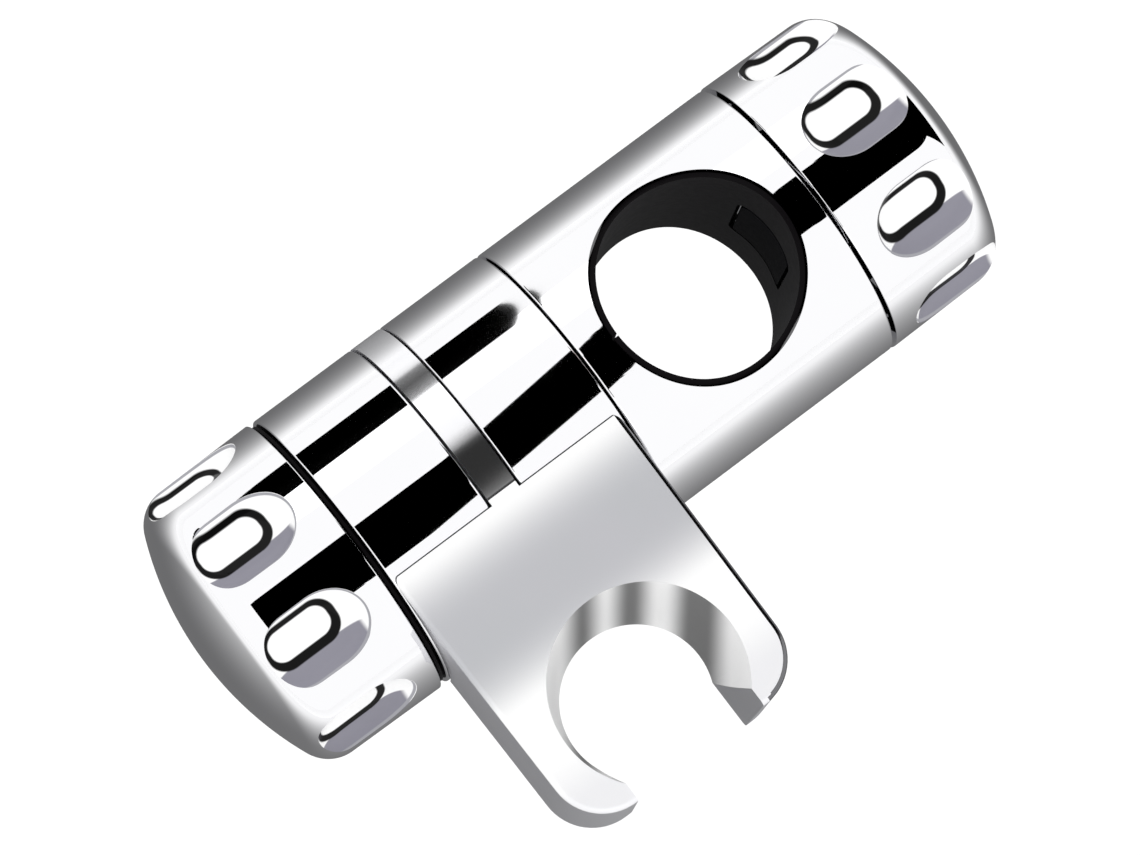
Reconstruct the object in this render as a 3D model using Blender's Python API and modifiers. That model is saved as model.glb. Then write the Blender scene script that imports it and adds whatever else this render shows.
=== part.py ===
"""Shower rail slider with a tilting handset cradle.

A chrome body rides on a round riser rail. The knob on its +X side drives a
padded shoe against the rail. On its -X side a satin arm with an open conical
cradle turns on a spigot between two fixed barrels, and the second knob
squeezes that stack to hold the tilt.

Metres. The origin is the centre of the rail bore, +Z runs up the rail, +X
runs along the barrel towards the rail knob, and the arm points along -Y.
"""

import math

import bmesh
import bpy
from mathutils import Matrix, Vector

# Clearances
SEAT_GAP = 0.0003
KNOB_SEAM_GAP = 0.0005
TOUCH = 0.0002
OVERCUT = 0.0010

# Travel of the two clamps
SHOE_RETREAT = 0.0006
SHOE_ADVANCE = 0.0003
TILT_ADVANCE = 0.0002

# Barrel line
BARREL_RADIUS = 0.0204
BARREL_WALL = 0.0022
EDGE_BREAK = 0.0003

# Body and rail bore
BODY_LEFT_LENGTH = 0.0181
BODY_RIGHT_LENGTH = 0.0175
BODY_END_RECESS = 0.0025
RAIL_BORE_RADIUS = 0.01275
LINER_WALL = 0.0007
LINER_SLIT = 0.0003
LINER_END_SETBACK = 0.0005
LINER_LUG_RADIUS = 0.0012
LINER_LUG_REACH = 0.0013

# Clamp shoe
SHOE_WIDTH = 0.0100
SHOE_HEIGHT = 0.0160
SHOE_THICKNESS = 0.0022
SHOE_CORNER = 0.0015
SHOE_BOSS_WALL = 0.0020
PAD_THICKNESS = 0.0010
PAD_MARGIN = 0.0003
SHOE_SOCKET_DEPTH = 0.0010
POCKET_FLOOR = 0.0015

# Neck and clamp screw
NECK_WALL = 0.0026
INSERT_WALL = 0.0013
INSERT_FLANGE = 0.0010
INSERT_FLANGE_LIP = 0.0016
INSERT_SHELF = 0.0005
CLAMP_SCREW_RADIUS = 0.0040
SCREW_TIP_REDUCTION = 0.0014
SCREW_HEAD_FLATS = 0.0130
SCREW_HEAD_HEIGHT = 0.0031
O_RING_SECTION = 0.0009
O_RING_SETBACK = 0.0050
O_RING_GROOVE_DEPTH = 0.0015

# Knobs
KNOB_FLARE = 0.0001
KNOB_TAPER = 0.0002
KNOB_LENGTH = 0.0218
KNOB_EDGE_RADIUS = 0.0050
KNOB_DOME_RADIUS = 0.0440
KNOB_SIDE_WALL = 0.0033
KNOB_DOME_WALL = 0.0024
KNOB_CROWN = 0.0032
KNOB_RIB = 0.0014
KNOB_RIB_START = 0.0045
GUIDE_WALL = 0.0016
GUIDE_START = 0.0035
RETAINER_THICKNESS = 0.0012

# Finger scoops
SCOOP_COUNT = 8
SCOOP_FLOOR_WIDTH = 0.0038
SCOOP_DEPTH = 0.0022
SCOOP_START = 0.0026
SCOOP_END_MARGIN = 0.0025
SCOOP_ROUND = 0.0043
SCOOP_END_FLAT = 0.0016
RAIL_KNOB_SCOOP_PHASE = math.radians(-14.0)
TILT_KNOB_SCOOP_PHASE = math.radians(-22.0)

# Tilting sleeve
SLEEVE_LENGTH = 0.0353
RING_WIDTH = 0.0042
BARREL_WEB = 0.0024
BARREL_RIB_COUNT = 6
BARREL_RIB = 0.0014
BARREL_RIB_SETBACK = 0.0060
BARREL_HUB_LIP = 0.0009
SPIGOT_WALL = 0.0033
SPIGOT_FLAT_DEPTH = 0.0018
BUSH_WALL = 0.0010
WASHER_THICKNESS = 0.0007
WASHER_MARGIN = 0.0006
LEFT_HUB_WALL = 0.0033
LEFT_HUB_HEIGHT = 0.0017
BODY_BOSS_LIP = 0.0010
DOG_WIDTH = 0.0022
DOG_REACH = 0.0012
DOG_MARGIN = 0.0005
DOG_INNER_WALL = 0.0015

# Tilt bolt and clamp stack
TILT_BOLT_RADIUS = 0.0030
BOLT_HEAD_LIP = 0.0022
BOLT_HEAD_HEIGHT = 0.0018
BOLT_HEAD_SINK = 0.0001
BOLT_FLAT_DEPTH = 0.0006
BOLT_PAST_NUT = 0.0035
SPRING_THICKNESS = 0.0008
SPRING_CONE = 0.0005
SPRING_SETBACK = 0.0022
KEYED_WASHER_THICKNESS = 0.0015
KEYED_WASHER_LIP = 0.0004
DUST_RING_SETBACK = 0.0005
DUST_RING_FLANGE = 0.0004
DUST_RING_SKIRT = 0.0010
DUST_RING_DEPTH = 0.0025
TILT_HUB_WALL = 0.0020
TILT_NUT_FLATS = 0.0100
TILT_NUT_HEIGHT = 0.0052

# Arm and cradle
ARM_TOP_DROP = 0.0012
ARM_DEPTH = 0.0200
ARM_SIDE_SETBACK = 0.0001
ARM_TAPER = 0.0005
ARM_CORNER_RADIUS = 0.0070
ARM_EDGE_ROUND = 0.0006
ARM_ROOT_START = 0.0050
ARM_TIP_REACH = 0.0107
CRADLE_REACH = 0.0369
CRADLE_TOP_RADIUS = 0.0127
CRADLE_BOTTOM_RADIUS = 0.00985
MOUTH_TOP_LIP = 0.0029
MOUTH_BOTTOM_LIP = 0.0008
CORE_WALL = 0.0024
CORE_ROOF = 0.0030
CORE_RIB = 0.0020
CORE_FRONT_SETBACK = 0.0035

# Facets
BARREL_STEPS = 36
KNOB_STEPS = 40
BORE_STEPS = 40
SMALL_STEPS = 24
ARC_STEPS = 4
DOME_STEPS = 3
SCOOP_END_STEPS = 3
O_RING_STEPS = 6
SMOOTH_ANGLE = math.radians(30.0)

# Radii worked out from the sizes above
BODY_BORE_RADIUS = RAIL_BORE_RADIUS + LINER_WALL + SEAT_GAP
BARREL_INNER_RADIUS = BARREL_RADIUS - BARREL_WALL
KNOB_RADIUS = BARREL_RADIUS + KNOB_FLARE
KNOB_SHOULDER_RADIUS = KNOB_RADIUS - KNOB_TAPER
KNOB_INNER_RADIUS = KNOB_RADIUS - KNOB_SIDE_WALL
BOLT_HOLE_RADIUS = TILT_BOLT_RADIUS + SEAT_GAP
BOLT_HEAD_RADIUS = TILT_BOLT_RADIUS + BOLT_HEAD_LIP
BOLT_FLAT = TILT_BOLT_RADIUS - BOLT_FLAT_DEPTH
SPIGOT_RADIUS = BOLT_HOLE_RADIUS + SPIGOT_WALL
SPIGOT_FLAT = SPIGOT_RADIUS - SPIGOT_FLAT_DEPTH
BARREL_HUB_RADIUS = SPIGOT_RADIUS + BARREL_HUB_LIP
BODY_BOSS_RADIUS = BARREL_HUB_RADIUS + BODY_BOSS_LIP
DOG_INNER = TILT_BOLT_RADIUS + DOG_INNER_WALL
DOG_OUTER = BARREL_HUB_RADIUS - DOG_MARGIN
BUSH_INNER_RADIUS = SPIGOT_RADIUS + SEAT_GAP
BUSH_OUTER_RADIUS = BUSH_INNER_RADIUS + BUSH_WALL
RING_BORE_RADIUS = BUSH_OUTER_RADIUS + SEAT_GAP
WASHER_INNER_RADIUS = RING_BORE_RADIUS + WASHER_MARGIN
WASHER_OUTER_RADIUS = BARREL_INNER_RADIUS - WASHER_MARGIN
LEFT_HUB_RADIUS = SPIGOT_RADIUS + SEAT_GAP + LEFT_HUB_WALL
SPRING_RADIUS = LEFT_HUB_RADIUS - SPRING_SETBACK
KEYED_WASHER_RADIUS = SPRING_RADIUS + KEYED_WASHER_LIP
DUST_RING_RADIUS = BARREL_RADIUS - DUST_RING_SETBACK
STUD_BORE_RADIUS = CLAMP_SCREW_RADIUS + SEAT_GAP
SCREW_TIP_RADIUS = CLAMP_SCREW_RADIUS - SCREW_TIP_REDUCTION
INSERT_RADIUS = STUD_BORE_RADIUS + INSERT_WALL
INSERT_FLANGE_RADIUS = INSERT_RADIUS + INSERT_FLANGE_LIP
INSERT_BORE_RADIUS = INSERT_RADIUS + SEAT_GAP
NECK_RADIUS = INSERT_BORE_RADIUS + NECK_WALL
O_RING_RADIUS = NECK_RADIUS - O_RING_GROOVE_DEPTH + SEAT_GAP + O_RING_SECTION
GUIDE_BORE_RADIUS = O_RING_RADIUS + O_RING_SECTION + SEAT_GAP
POCKET_HALF_WIDTH = SHOE_WIDTH / 2 + SEAT_GAP
POCKET_HALF_HEIGHT = SHOE_HEIGHT / 2 + SEAT_GAP
SHOE_BOSS_RADIUS = math.hypot(POCKET_HALF_WIDTH, POCKET_HALF_HEIGHT) + SHOE_BOSS_WALL
SHOE_FRONT_RADIUS = RAIL_BORE_RADIUS + PAD_THICKNESS + SEAT_GAP

# Stations along X on the rail side
BODY_RIGHT_END = BODY_RIGHT_LENGTH
RAIL_KNOB_START = BODY_RIGHT_END + KNOB_SEAM_GAP
SHOE_BACK = SHOE_FRONT_RADIUS + SHOE_THICKNESS
SCREW_SHOULDER = SHOE_BACK + SEAT_GAP
SHOE_POCKET_END = SHOE_BACK + SHOE_RETREAT + SEAT_GAP
SHOE_BOSS_END = SHOE_POCKET_END + POCKET_FLOOR
INSERT_BORE_FLOOR = SHOE_BOSS_END + INSERT_SHELF
INSERT_END = INSERT_BORE_FLOOR + SEAT_GAP
HEAD_POCKET_END = RAIL_KNOB_START + KNOB_LENGTH - KNOB_CROWN
SCREW_HEAD_END = HEAD_POCKET_END - SEAT_GAP
SCREW_HEAD_START = SCREW_HEAD_END - SCREW_HEAD_HEIGHT
GUIDE_FLOOR = SCREW_HEAD_START - TOUCH
RAIL_RETAINER_START = GUIDE_FLOOR - SEAT_GAP - RETAINER_THICKNESS
INSERT_FLANGE_END = RAIL_RETAINER_START - SHOE_ADVANCE - SEAT_GAP
INSERT_START = INSERT_FLANGE_END - INSERT_FLANGE
NECK_END = INSERT_START - SEAT_GAP
O_RING_STATION = NECK_END - O_RING_SETBACK

# Stations along X on the tilt side
BODY_LEFT_END = -BODY_LEFT_LENGTH
BOLT_HEAD_START = -(BODY_BORE_RADIUS + BOLT_HEAD_SINK)
BOLT_HEAD_SEAT = BOLT_HEAD_START - BOLT_HEAD_HEIGHT
BOLT_NECK_END = BODY_LEFT_END + SEAT_GAP
SLEEVE_RIGHT = BODY_LEFT_END - SEAT_GAP
SLEEVE_LEFT = SLEEVE_RIGHT - SLEEVE_LENGTH
RING_CENTRE = (SLEEVE_RIGHT + SLEEVE_LEFT) / 2
RING_RIGHT = RING_CENTRE + RING_WIDTH / 2
RING_LEFT = RING_CENTRE - RING_WIDTH / 2
WEB_RIGHT_FACE = RING_RIGHT + SEAT_GAP
WEB_LEFT_FACE = RING_LEFT - SEAT_GAP
WASHER_RECESS = WASHER_THICKNESS + SEAT_GAP
LEFT_HUB_END = WEB_LEFT_FACE - BARREL_WEB - LEFT_HUB_HEIGHT
SPIGOT_END = LEFT_HUB_END + SEAT_GAP
SPRING_HEIGHT = SPRING_THICKNESS + SPRING_CONE
SPRING_A_START = LEFT_HUB_END - SEAT_GAP
SPRING_B_START = SPRING_A_START - SPRING_HEIGHT - SEAT_GAP
KEYED_WASHER_START = SPRING_B_START - SPRING_HEIGHT - SEAT_GAP
KEYED_WASHER_END = KEYED_WASHER_START - KEYED_WASHER_THICKNESS
TILT_HUB_END = KEYED_WASHER_END - SEAT_GAP
TILT_RETAINER_START = TILT_HUB_END - SEAT_GAP
TILT_NUT_POCKET = TILT_RETAINER_START - RETAINER_THICKNESS - SEAT_GAP
TILT_NUT_START = TILT_NUT_POCKET - SEAT_GAP
TILT_NUT_END = TILT_NUT_START - TILT_NUT_HEIGHT
TILT_BOLT_END = TILT_NUT_END - BOLT_PAST_NUT
TILT_BORE_END = TILT_BOLT_END - TILT_ADVANCE - SEAT_GAP
TILT_KNOB_START = SLEEVE_LEFT - DUST_RING_FLANGE - 2 * SEAT_GAP

# Arm and cradle worked out from the sizes above
ARM_TOP = BARREL_RADIUS - ARM_TOP_DROP
ARM_BOTTOM = ARM_TOP - ARM_DEPTH
ARM_ROOT_HALF_WIDTH = SLEEVE_LENGTH / 2 - ARM_SIDE_SETBACK
ARM_TIP_HALF_WIDTH = ARM_ROOT_HALF_WIDTH - ARM_TAPER
ARM_REACH = CRADLE_REACH + ARM_TIP_REACH
MOUTH_TOP_HALF_WIDTH = CRADLE_TOP_RADIUS - MOUTH_TOP_LIP
MOUTH_BOTTOM_HALF_WIDTH = CRADLE_BOTTOM_RADIUS - MOUTH_BOTTOM_LIP
SCOOP_LENGTH = KNOB_LENGTH - SCOOP_START - SCOOP_END_MARGIN
SCOOP_WIDTH = SCOOP_FLOOR_WIDTH + 2 * SCOOP_ROUND

parts = None
cutters = None


def clear_scene():
    """Remove every object that the file holds."""
    for obj in list(bpy.data.objects):
        bpy.data.objects.remove(obj, do_unlink=True)


def make_collection(name):
    """Return a new collection linked to the scene."""
    collection = bpy.data.collections.new(name)
    bpy.context.scene.collection.children.link(collection)
    return collection


def make_material(name, colour, roughness, metallic):
    """Return a Principled material."""
    material = bpy.data.materials.new(name)
    material.use_nodes = True
    shader = material.node_tree.nodes["Principled BSDF"]
    shader.inputs["Base Color"].default_value = (*colour, 1.0)
    shader.inputs["Roughness"].default_value = roughness
    shader.inputs["Metallic"].default_value = metallic
    material.diffuse_color = (*colour, 1.0)
    return material


def place(obj, collection):
    """Move an object out of every collection and into the given one."""
    for owner in list(obj.users_collection):
        owner.objects.unlink(obj)
    collection.objects.link(obj)
    return obj


def as_cutter(obj):
    """Keep an object as a construction shape only."""
    place(obj, cutters)
    obj.hide_render = True
    obj.display_type = "WIRE"
    return obj


def from_bmesh(name, shape, collection):
    """Turn a bmesh into an object of the given collection."""
    mesh = bpy.data.meshes.new(name)
    shape.to_mesh(mesh)
    shape.free()
    obj = bpy.data.objects.new(name, mesh)
    collection.objects.link(obj)
    return obj


def turned(name, profile, steps, closed=True, along="X", facing=1, start=0.0, collection=None):
    """Turn a profile of (radius, station) pairs about an axis.

    The profile runs down its outer side, from the highest station to the
    lowest. A closed one is a ring, and an open one starts and ends on the axis.
    """
    mesh = bpy.data.meshes.new(name)
    points = [(radius, 0.0, station) for radius, station in profile]
    edges = [(i, i + 1) for i in range(len(points) - 1)]
    if closed:
        edges.append((len(points) - 1, 0))
    mesh.from_pydata(points, edges, [])
    obj = bpy.data.objects.new(name, mesh)
    (collection or parts).objects.link(obj)
    if along == "X":
        obj.rotation_euler = (0.0, facing * math.pi / 2, 0.0)
        obj.location.x = start
    screw = obj.modifiers.new("Turn", "SCREW")
    screw.axis = "Z"
    screw.angle = 2 * math.pi
    screw.steps = steps
    screw.render_steps = steps
    screw.use_merge_vertices = True
    screw.merge_threshold = 0.000001
    return obj


def ring_profile(outer, inner, low, high):
    """Return the closed profile of a plain ring."""
    return [(outer, high), (outer, low), (inner, low), (inner, high)]


def rod(name, radius, low, high, steps=SMALL_STEPS, along="X", centre=(0.0, 0.0)):
    """Return a cylinder between two stations of an axis.

    centre holds the two other coordinates, in X, Y, Z order.
    """
    middle = (low + high) / 2
    places = {
        "X": (middle, centre[0], centre[1]),
        "Y": (centre[0], middle, centre[1]),
        "Z": (centre[0], centre[1], middle),
    }
    turns = {"X": (0.0, math.pi / 2, 0.0), "Y": (math.pi / 2, 0.0, 0.0), "Z": (0.0, 0.0, 0.0)}
    bpy.ops.mesh.primitive_cylinder_add(
        vertices=steps,
        radius=radius,
        depth=high - low,
        location=places[along],
        rotation=turns[along],
    )
    obj = bpy.context.object
    obj.name = name
    return obj


def block(name, low, high):
    """Return a box between two corners."""
    low = Vector(low)
    high = Vector(high)
    shape = bmesh.new()
    bmesh.ops.create_cube(shape, size=1.0)
    size = high - low
    bmesh.ops.scale(shape, vec=size, verts=shape.verts)
    bmesh.ops.translate(shape, vec=(low + high) / 2, verts=shape.verts)
    return from_bmesh(name, shape, cutters)


def combine(target, tool, operation="DIFFERENCE"):
    """Cut, join or intersect an object with a construction shape."""
    as_cutter(tool)
    modifier = target.modifiers.new(tool.name, "BOOLEAN")
    modifier.operation = operation
    modifier.solver = "EXACT"
    modifier.object = tool
    return target


def finish(obj, material):
    """Fix an object's modifiers into its mesh, shade it and colour it."""
    place(obj, parts)
    bpy.context.view_layer.update()
    graph = bpy.context.evaluated_depsgraph_get()
    mesh = bpy.data.meshes.new_from_object(obj.evaluated_get(graph))
    mesh.name = obj.name
    obj.modifiers.clear()
    obj.data = mesh
    mesh.materials.clear()
    mesh.materials.append(material)
    mesh.shade_smooth()
    mesh.set_sharp_from_angle(angle=SMOOTH_ANGLE)
    return obj


def spread_boxes(name, count, phase, inner, outer, thickness, low, high, axis_start=0.0):
    """Return radial plates spread evenly about the X axis, as one shape."""
    shape = bmesh.new()
    for index in range(count):
        turn = Matrix.Rotation(phase + index * 2 * math.pi / count, 4, "X")
        scale = Matrix.Diagonal((high - low, thickness, outer - inner, 1.0))
        shift = Matrix.Translation((axis_start + (low + high) / 2, 0.0, (inner + outer) / 2))
        bmesh.ops.create_cube(shape, size=1.0, matrix=turn @ shift @ scale)
    return from_bmesh(name, shape, cutters)


def double_d(name, radius, flat, low, high):
    """Return a rod along X with two flats that face +Z and -Z."""
    obj = rod(name, radius, low, high)
    for side in (-1, 1):
        near = side * flat
        far = side * (radius + TOUCH)
        flat_cut = block(
            f"{name}_flat",
            (low - TOUCH, -radius - TOUCH, min(near, far)),
            (high + TOUCH, radius + TOUCH, max(near, far)),
        )
        combine(obj, flat_cut)
    return obj


def hex_radius(flats):
    """Return the corner radius of a hexagon from its width across flats."""
    return flats / math.sqrt(3.0)


def make_body_shell(material):
    """Turn the body with its neck, then cut the rail bore and the pockets."""
    recess_right = BODY_RIGHT_END - BODY_END_RECESS
    recess_left = BODY_LEFT_END + BODY_END_RECESS
    groove_low = O_RING_STATION - O_RING_SECTION - SEAT_GAP
    groove_high = O_RING_STATION + O_RING_SECTION + SEAT_GAP
    groove_floor = NECK_RADIUS - O_RING_GROOVE_DEPTH
    profile = [
        (0.0, RAIL_BORE_RADIUS - LINER_WALL),
        (STUD_BORE_RADIUS, RAIL_BORE_RADIUS - LINER_WALL),
        (STUD_BORE_RADIUS, INSERT_BORE_FLOOR),
        (INSERT_BORE_RADIUS, INSERT_BORE_FLOOR),
        (INSERT_BORE_RADIUS, NECK_END),
        (NECK_RADIUS - EDGE_BREAK, NECK_END),
        (NECK_RADIUS, NECK_END - EDGE_BREAK),
        (NECK_RADIUS, groove_high),
        (groove_floor, groove_high),
        (groove_floor, groove_low),
        (NECK_RADIUS, groove_low),
        (NECK_RADIUS, SHOE_BOSS_END),
        (SHOE_BOSS_RADIUS, SHOE_BOSS_END),
        (SHOE_BOSS_RADIUS, recess_right),
        (BARREL_INNER_RADIUS, recess_right),
        (BARREL_INNER_RADIUS, BODY_RIGHT_END),
        (BARREL_RADIUS - EDGE_BREAK, BODY_RIGHT_END),
        (BARREL_RADIUS, BODY_RIGHT_END - EDGE_BREAK),
        (BARREL_RADIUS, BODY_LEFT_END + EDGE_BREAK),
        (BARREL_RADIUS - EDGE_BREAK, BODY_LEFT_END),
        (BARREL_INNER_RADIUS, BODY_LEFT_END),
        (BARREL_INNER_RADIUS, recess_left),
        (BODY_BOSS_RADIUS, recess_left),
        (BODY_BOSS_RADIUS, BODY_LEFT_END),
        (0.0, BODY_LEFT_END),
    ]
    body = turned("body_shell", profile, BARREL_STEPS, closed=False)
    reach = BARREL_RADIUS + OVERCUT
    combine(body, rod("rail_bore_cut", BODY_BORE_RADIUS, -reach, reach, BORE_STEPS, "Z"))
    combine(body, shoe_pocket("shoe_pocket_cut", SHOE_POCKET_END))
    seat = BOLT_HEAD_SEAT - SEAT_GAP
    combine(body, rod("bolt_head_cut", BOLT_HEAD_RADIUS + SEAT_GAP, seat, 0.0))
    neck = BOLT_HOLE_RADIUS
    neck_low = (BODY_LEFT_END - OVERCUT, -neck, -neck)
    combine(body, block("bolt_neck_cut", neck_low, (seat + OVERCUT, neck, neck)))
    for side in (-1, 1):
        near = side * (DOG_INNER - SEAT_GAP)
        far = side * (DOG_OUTER + SEAT_GAP)
        half = DOG_WIDTH / 2 + SEAT_GAP
        low = (BODY_LEFT_END - OVERCUT, min(near, far), -half)
        high = (BODY_LEFT_END + DOG_REACH, max(near, far), half)
        combine(body, block("dog_slot_cut", low, high))
        socket_end = BODY_BORE_RADIUS + LINER_LUG_REACH
        socket = rod(
            "liner_lug_cut",
            LINER_LUG_RADIUS + SEAT_GAP,
            min(0.0, side * socket_end),
            max(0.0, side * socket_end),
            SMALL_STEPS // 2,
            "Y",
        )
        combine(body, socket)
    return finish(body, material)


def round_upright_edges(obj, radius, along):
    """Round a box's four edges that run along the given axis."""
    shape = bmesh.new()
    shape.from_mesh(obj.data)
    axis = "XYZ".index(along)
    edges = []
    for edge in shape.edges:
        run = edge.verts[1].co - edge.verts[0].co
        if abs(run[axis]) > 0.9 * run.length:
            edges.append(edge)
    bmesh.ops.bevel(shape, geom=edges, offset=radius, segments=4, profile=0.5, affect="EDGES")
    shape.to_mesh(obj.data)
    shape.free()


def shoe_pocket(name, end):
    """Return the rounded pocket that the clamp shoe slides in, out to a station."""
    low = (0.0, -POCKET_HALF_WIDTH, -POCKET_HALF_HEIGHT)
    pocket = block(name, low, (end, POCKET_HALF_WIDTH, POCKET_HALF_HEIGHT))
    round_upright_edges(pocket, SHOE_CORNER + SEAT_GAP, "X")
    return pocket


def make_rail_liner(material):
    """Turn the bush along Z, follow the barrel at its ends, open slit and window."""
    outer = RAIL_BORE_RADIUS + LINER_WALL
    liner = turned(
        "rail_liner",
        ring_profile(outer, RAIL_BORE_RADIUS, -BARREL_RADIUS, BARREL_RADIUS),
        BORE_STEPS,
        along="Z",
    )
    for side in (-1, 1):
        root = side * (RAIL_BORE_RADIUS + LINER_WALL / 2)
        tip = side * (outer + LINER_LUG_REACH)
        lug = rod("liner_lug", LINER_LUG_RADIUS, min(root, tip), max(root, tip), SMALL_STEPS // 2, "Y")
        combine(liner, lug, "UNION")
    end_radius = BARREL_RADIUS - LINER_END_SETBACK
    saddle = rod("liner_saddle", end_radius, BODY_LEFT_END, BODY_RIGHT_END, BARREL_STEPS)
    combine(liner, saddle, "INTERSECT")
    half = LINER_SLIT / 2
    combine(liner, block("liner_slit", (-outer - half, -half, -BARREL_RADIUS), (-half, half, BARREL_RADIUS)))
    combine(liner, shoe_pocket("liner_window", SHOE_BACK))
    return finish(liner, material)


def make_clamp_shoe(material):
    """Cut the block's hollow face to the rail and its socket for the screw tip."""
    half_y = SHOE_WIDTH / 2
    half_z = SHOE_HEIGHT / 2
    shoe = block("clamp_shoe", (RAIL_BORE_RADIUS / 2, -half_y, -half_z), (SHOE_BACK, half_y, half_z))
    round_upright_edges(shoe, SHOE_CORNER, "X")
    combine(shoe, rod("shoe_face_cut", SHOE_FRONT_RADIUS, -SHOE_HEIGHT, SHOE_HEIGHT, 2 * BORE_STEPS, "Z"))
    socket_floor = SHOE_BACK - SHOE_SOCKET_DEPTH
    socket = rod("shoe_socket_cut", SCREW_TIP_RADIUS + SEAT_GAP, socket_floor, SHOE_BACK + SHOE_SOCKET_DEPTH)
    combine(shoe, socket)
    return finish(shoe, material)


def make_shoe_pad(material):
    """Cut the rubber pad to the rail's radius inside and the shoe's outside."""
    half_y = SHOE_WIDTH / 2 - PAD_MARGIN
    half_z = SHOE_HEIGHT / 2 - PAD_MARGIN
    pad = block("shoe_pad", (RAIL_BORE_RADIUS / 2, -half_y, -half_z), (SHOE_BACK, half_y, half_z))
    round_upright_edges(pad, SHOE_CORNER - PAD_MARGIN, "X")
    combine(pad, rod("pad_face_cut", RAIL_BORE_RADIUS, -SHOE_HEIGHT, SHOE_HEIGHT, 2 * BORE_STEPS, "Z"))
    back = rod("pad_back", RAIL_BORE_RADIUS + PAD_THICKNESS, -SHOE_HEIGHT, SHOE_HEIGHT, 2 * BORE_STEPS, "Z")
    combine(pad, back, "INTERSECT")
    return finish(pad, material)


def make_clamp_screw(material):
    """Turn the stud with its reduced tip and join the hex head."""
    break_back = SCREW_SHOULDER + EDGE_BREAK
    tip_end = SHOE_BACK - SHOE_SOCKET_DEPTH + SEAT_GAP
    profile = [
        (0.0, SCREW_HEAD_END - EDGE_BREAK),
        (CLAMP_SCREW_RADIUS, SCREW_HEAD_END - EDGE_BREAK),
        (CLAMP_SCREW_RADIUS, break_back),
        (CLAMP_SCREW_RADIUS - EDGE_BREAK, SCREW_SHOULDER),
        (SCREW_TIP_RADIUS, SCREW_SHOULDER),
        (SCREW_TIP_RADIUS, tip_end),
        (0.0, tip_end),
    ]
    screw = turned("clamp_screw", profile, SMALL_STEPS, closed=False)
    head = rod("screw_head", hex_radius(SCREW_HEAD_FLATS), SCREW_HEAD_START, SCREW_HEAD_END, 6)
    combine(screw, head, "UNION")
    return finish(screw, material)


def make_clamp_insert(material):
    """Turn the flanged threaded insert of the neck."""
    profile = [
        (INSERT_FLANGE_RADIUS, INSERT_FLANGE_END),
        (INSERT_FLANGE_RADIUS, INSERT_START),
        (INSERT_RADIUS, INSERT_START),
        (INSERT_RADIUS, INSERT_END),
        (STUD_BORE_RADIUS, INSERT_END),
        (STUD_BORE_RADIUS, INSERT_FLANGE_END),
    ]
    return finish(turned("clamp_insert", profile, SMALL_STEPS), material)


def make_neck_o_ring(material):
    """Place the O-ring in the neck's groove."""
    bpy.ops.mesh.primitive_torus_add(
        major_radius=O_RING_RADIUS,
        minor_radius=O_RING_SECTION,
        major_segments=SMALL_STEPS,
        minor_segments=O_RING_STEPS,
        location=(O_RING_STATION, 0.0, 0.0),
        rotation=(0.0, math.pi / 2, 0.0),
    )
    ring = bpy.context.object
    ring.name = "neck_o_ring"
    return finish(ring, material)


def dome_arc(radius, centre_radius, centre_station, start_angle, end_angle, steps):
    """Return points of an arc, its angles counted from the radial direction."""
    points = []
    for index in range(steps + 1):
        angle = start_angle + (end_angle - start_angle) * index / steps
        points.append((centre_radius + radius * math.cos(angle), centre_station + radius * math.sin(angle)))
    return points


def knob_outside():
    """Return the knob's outer profile from its apex down to its rim."""
    edge_centre = KNOB_SHOULDER_RADIUS - KNOB_EDGE_RADIUS
    dome_centre = KNOB_LENGTH - KNOB_DOME_RADIUS
    reach = KNOB_DOME_RADIUS - KNOB_EDGE_RADIUS
    rise = math.sqrt(reach**2 - edge_centre**2)
    tangent = math.atan2(rise, edge_centre)
    dome = dome_arc(KNOB_DOME_RADIUS, 0.0, dome_centre, math.pi / 2, tangent, DOME_STEPS)
    edge = dome_arc(KNOB_EDGE_RADIUS, edge_centre, dome_centre + rise, tangent, 0.0, ARC_STEPS)
    dome[0] = (0.0, KNOB_LENGTH)
    rim = [(KNOB_RADIUS, EDGE_BREAK), (KNOB_RADIUS - EDGE_BREAK, 0.0)]
    return dome + edge[1:] + rim


def knob_inside(hub_radius):
    """Return the cavity's profile from the rim up its wall and in to the hub."""
    dome_radius = KNOB_DOME_RADIUS - KNOB_DOME_WALL
    dome_centre = KNOB_LENGTH - KNOB_DOME_RADIUS
    corner = KNOB_INNER_RADIUS - KNOB_EDGE_RADIUS / 2
    corner_station = dome_centre + math.sqrt(dome_radius**2 - corner**2)
    hub_station = dome_centre + math.sqrt(dome_radius**2 - hub_radius**2)
    return [
        (KNOB_INNER_RADIUS, 0.0),
        (KNOB_INNER_RADIUS, corner_station - KNOB_EDGE_RADIUS / 2),
        (corner, corner_station),
        (hub_radius, hub_station),
    ]


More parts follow.
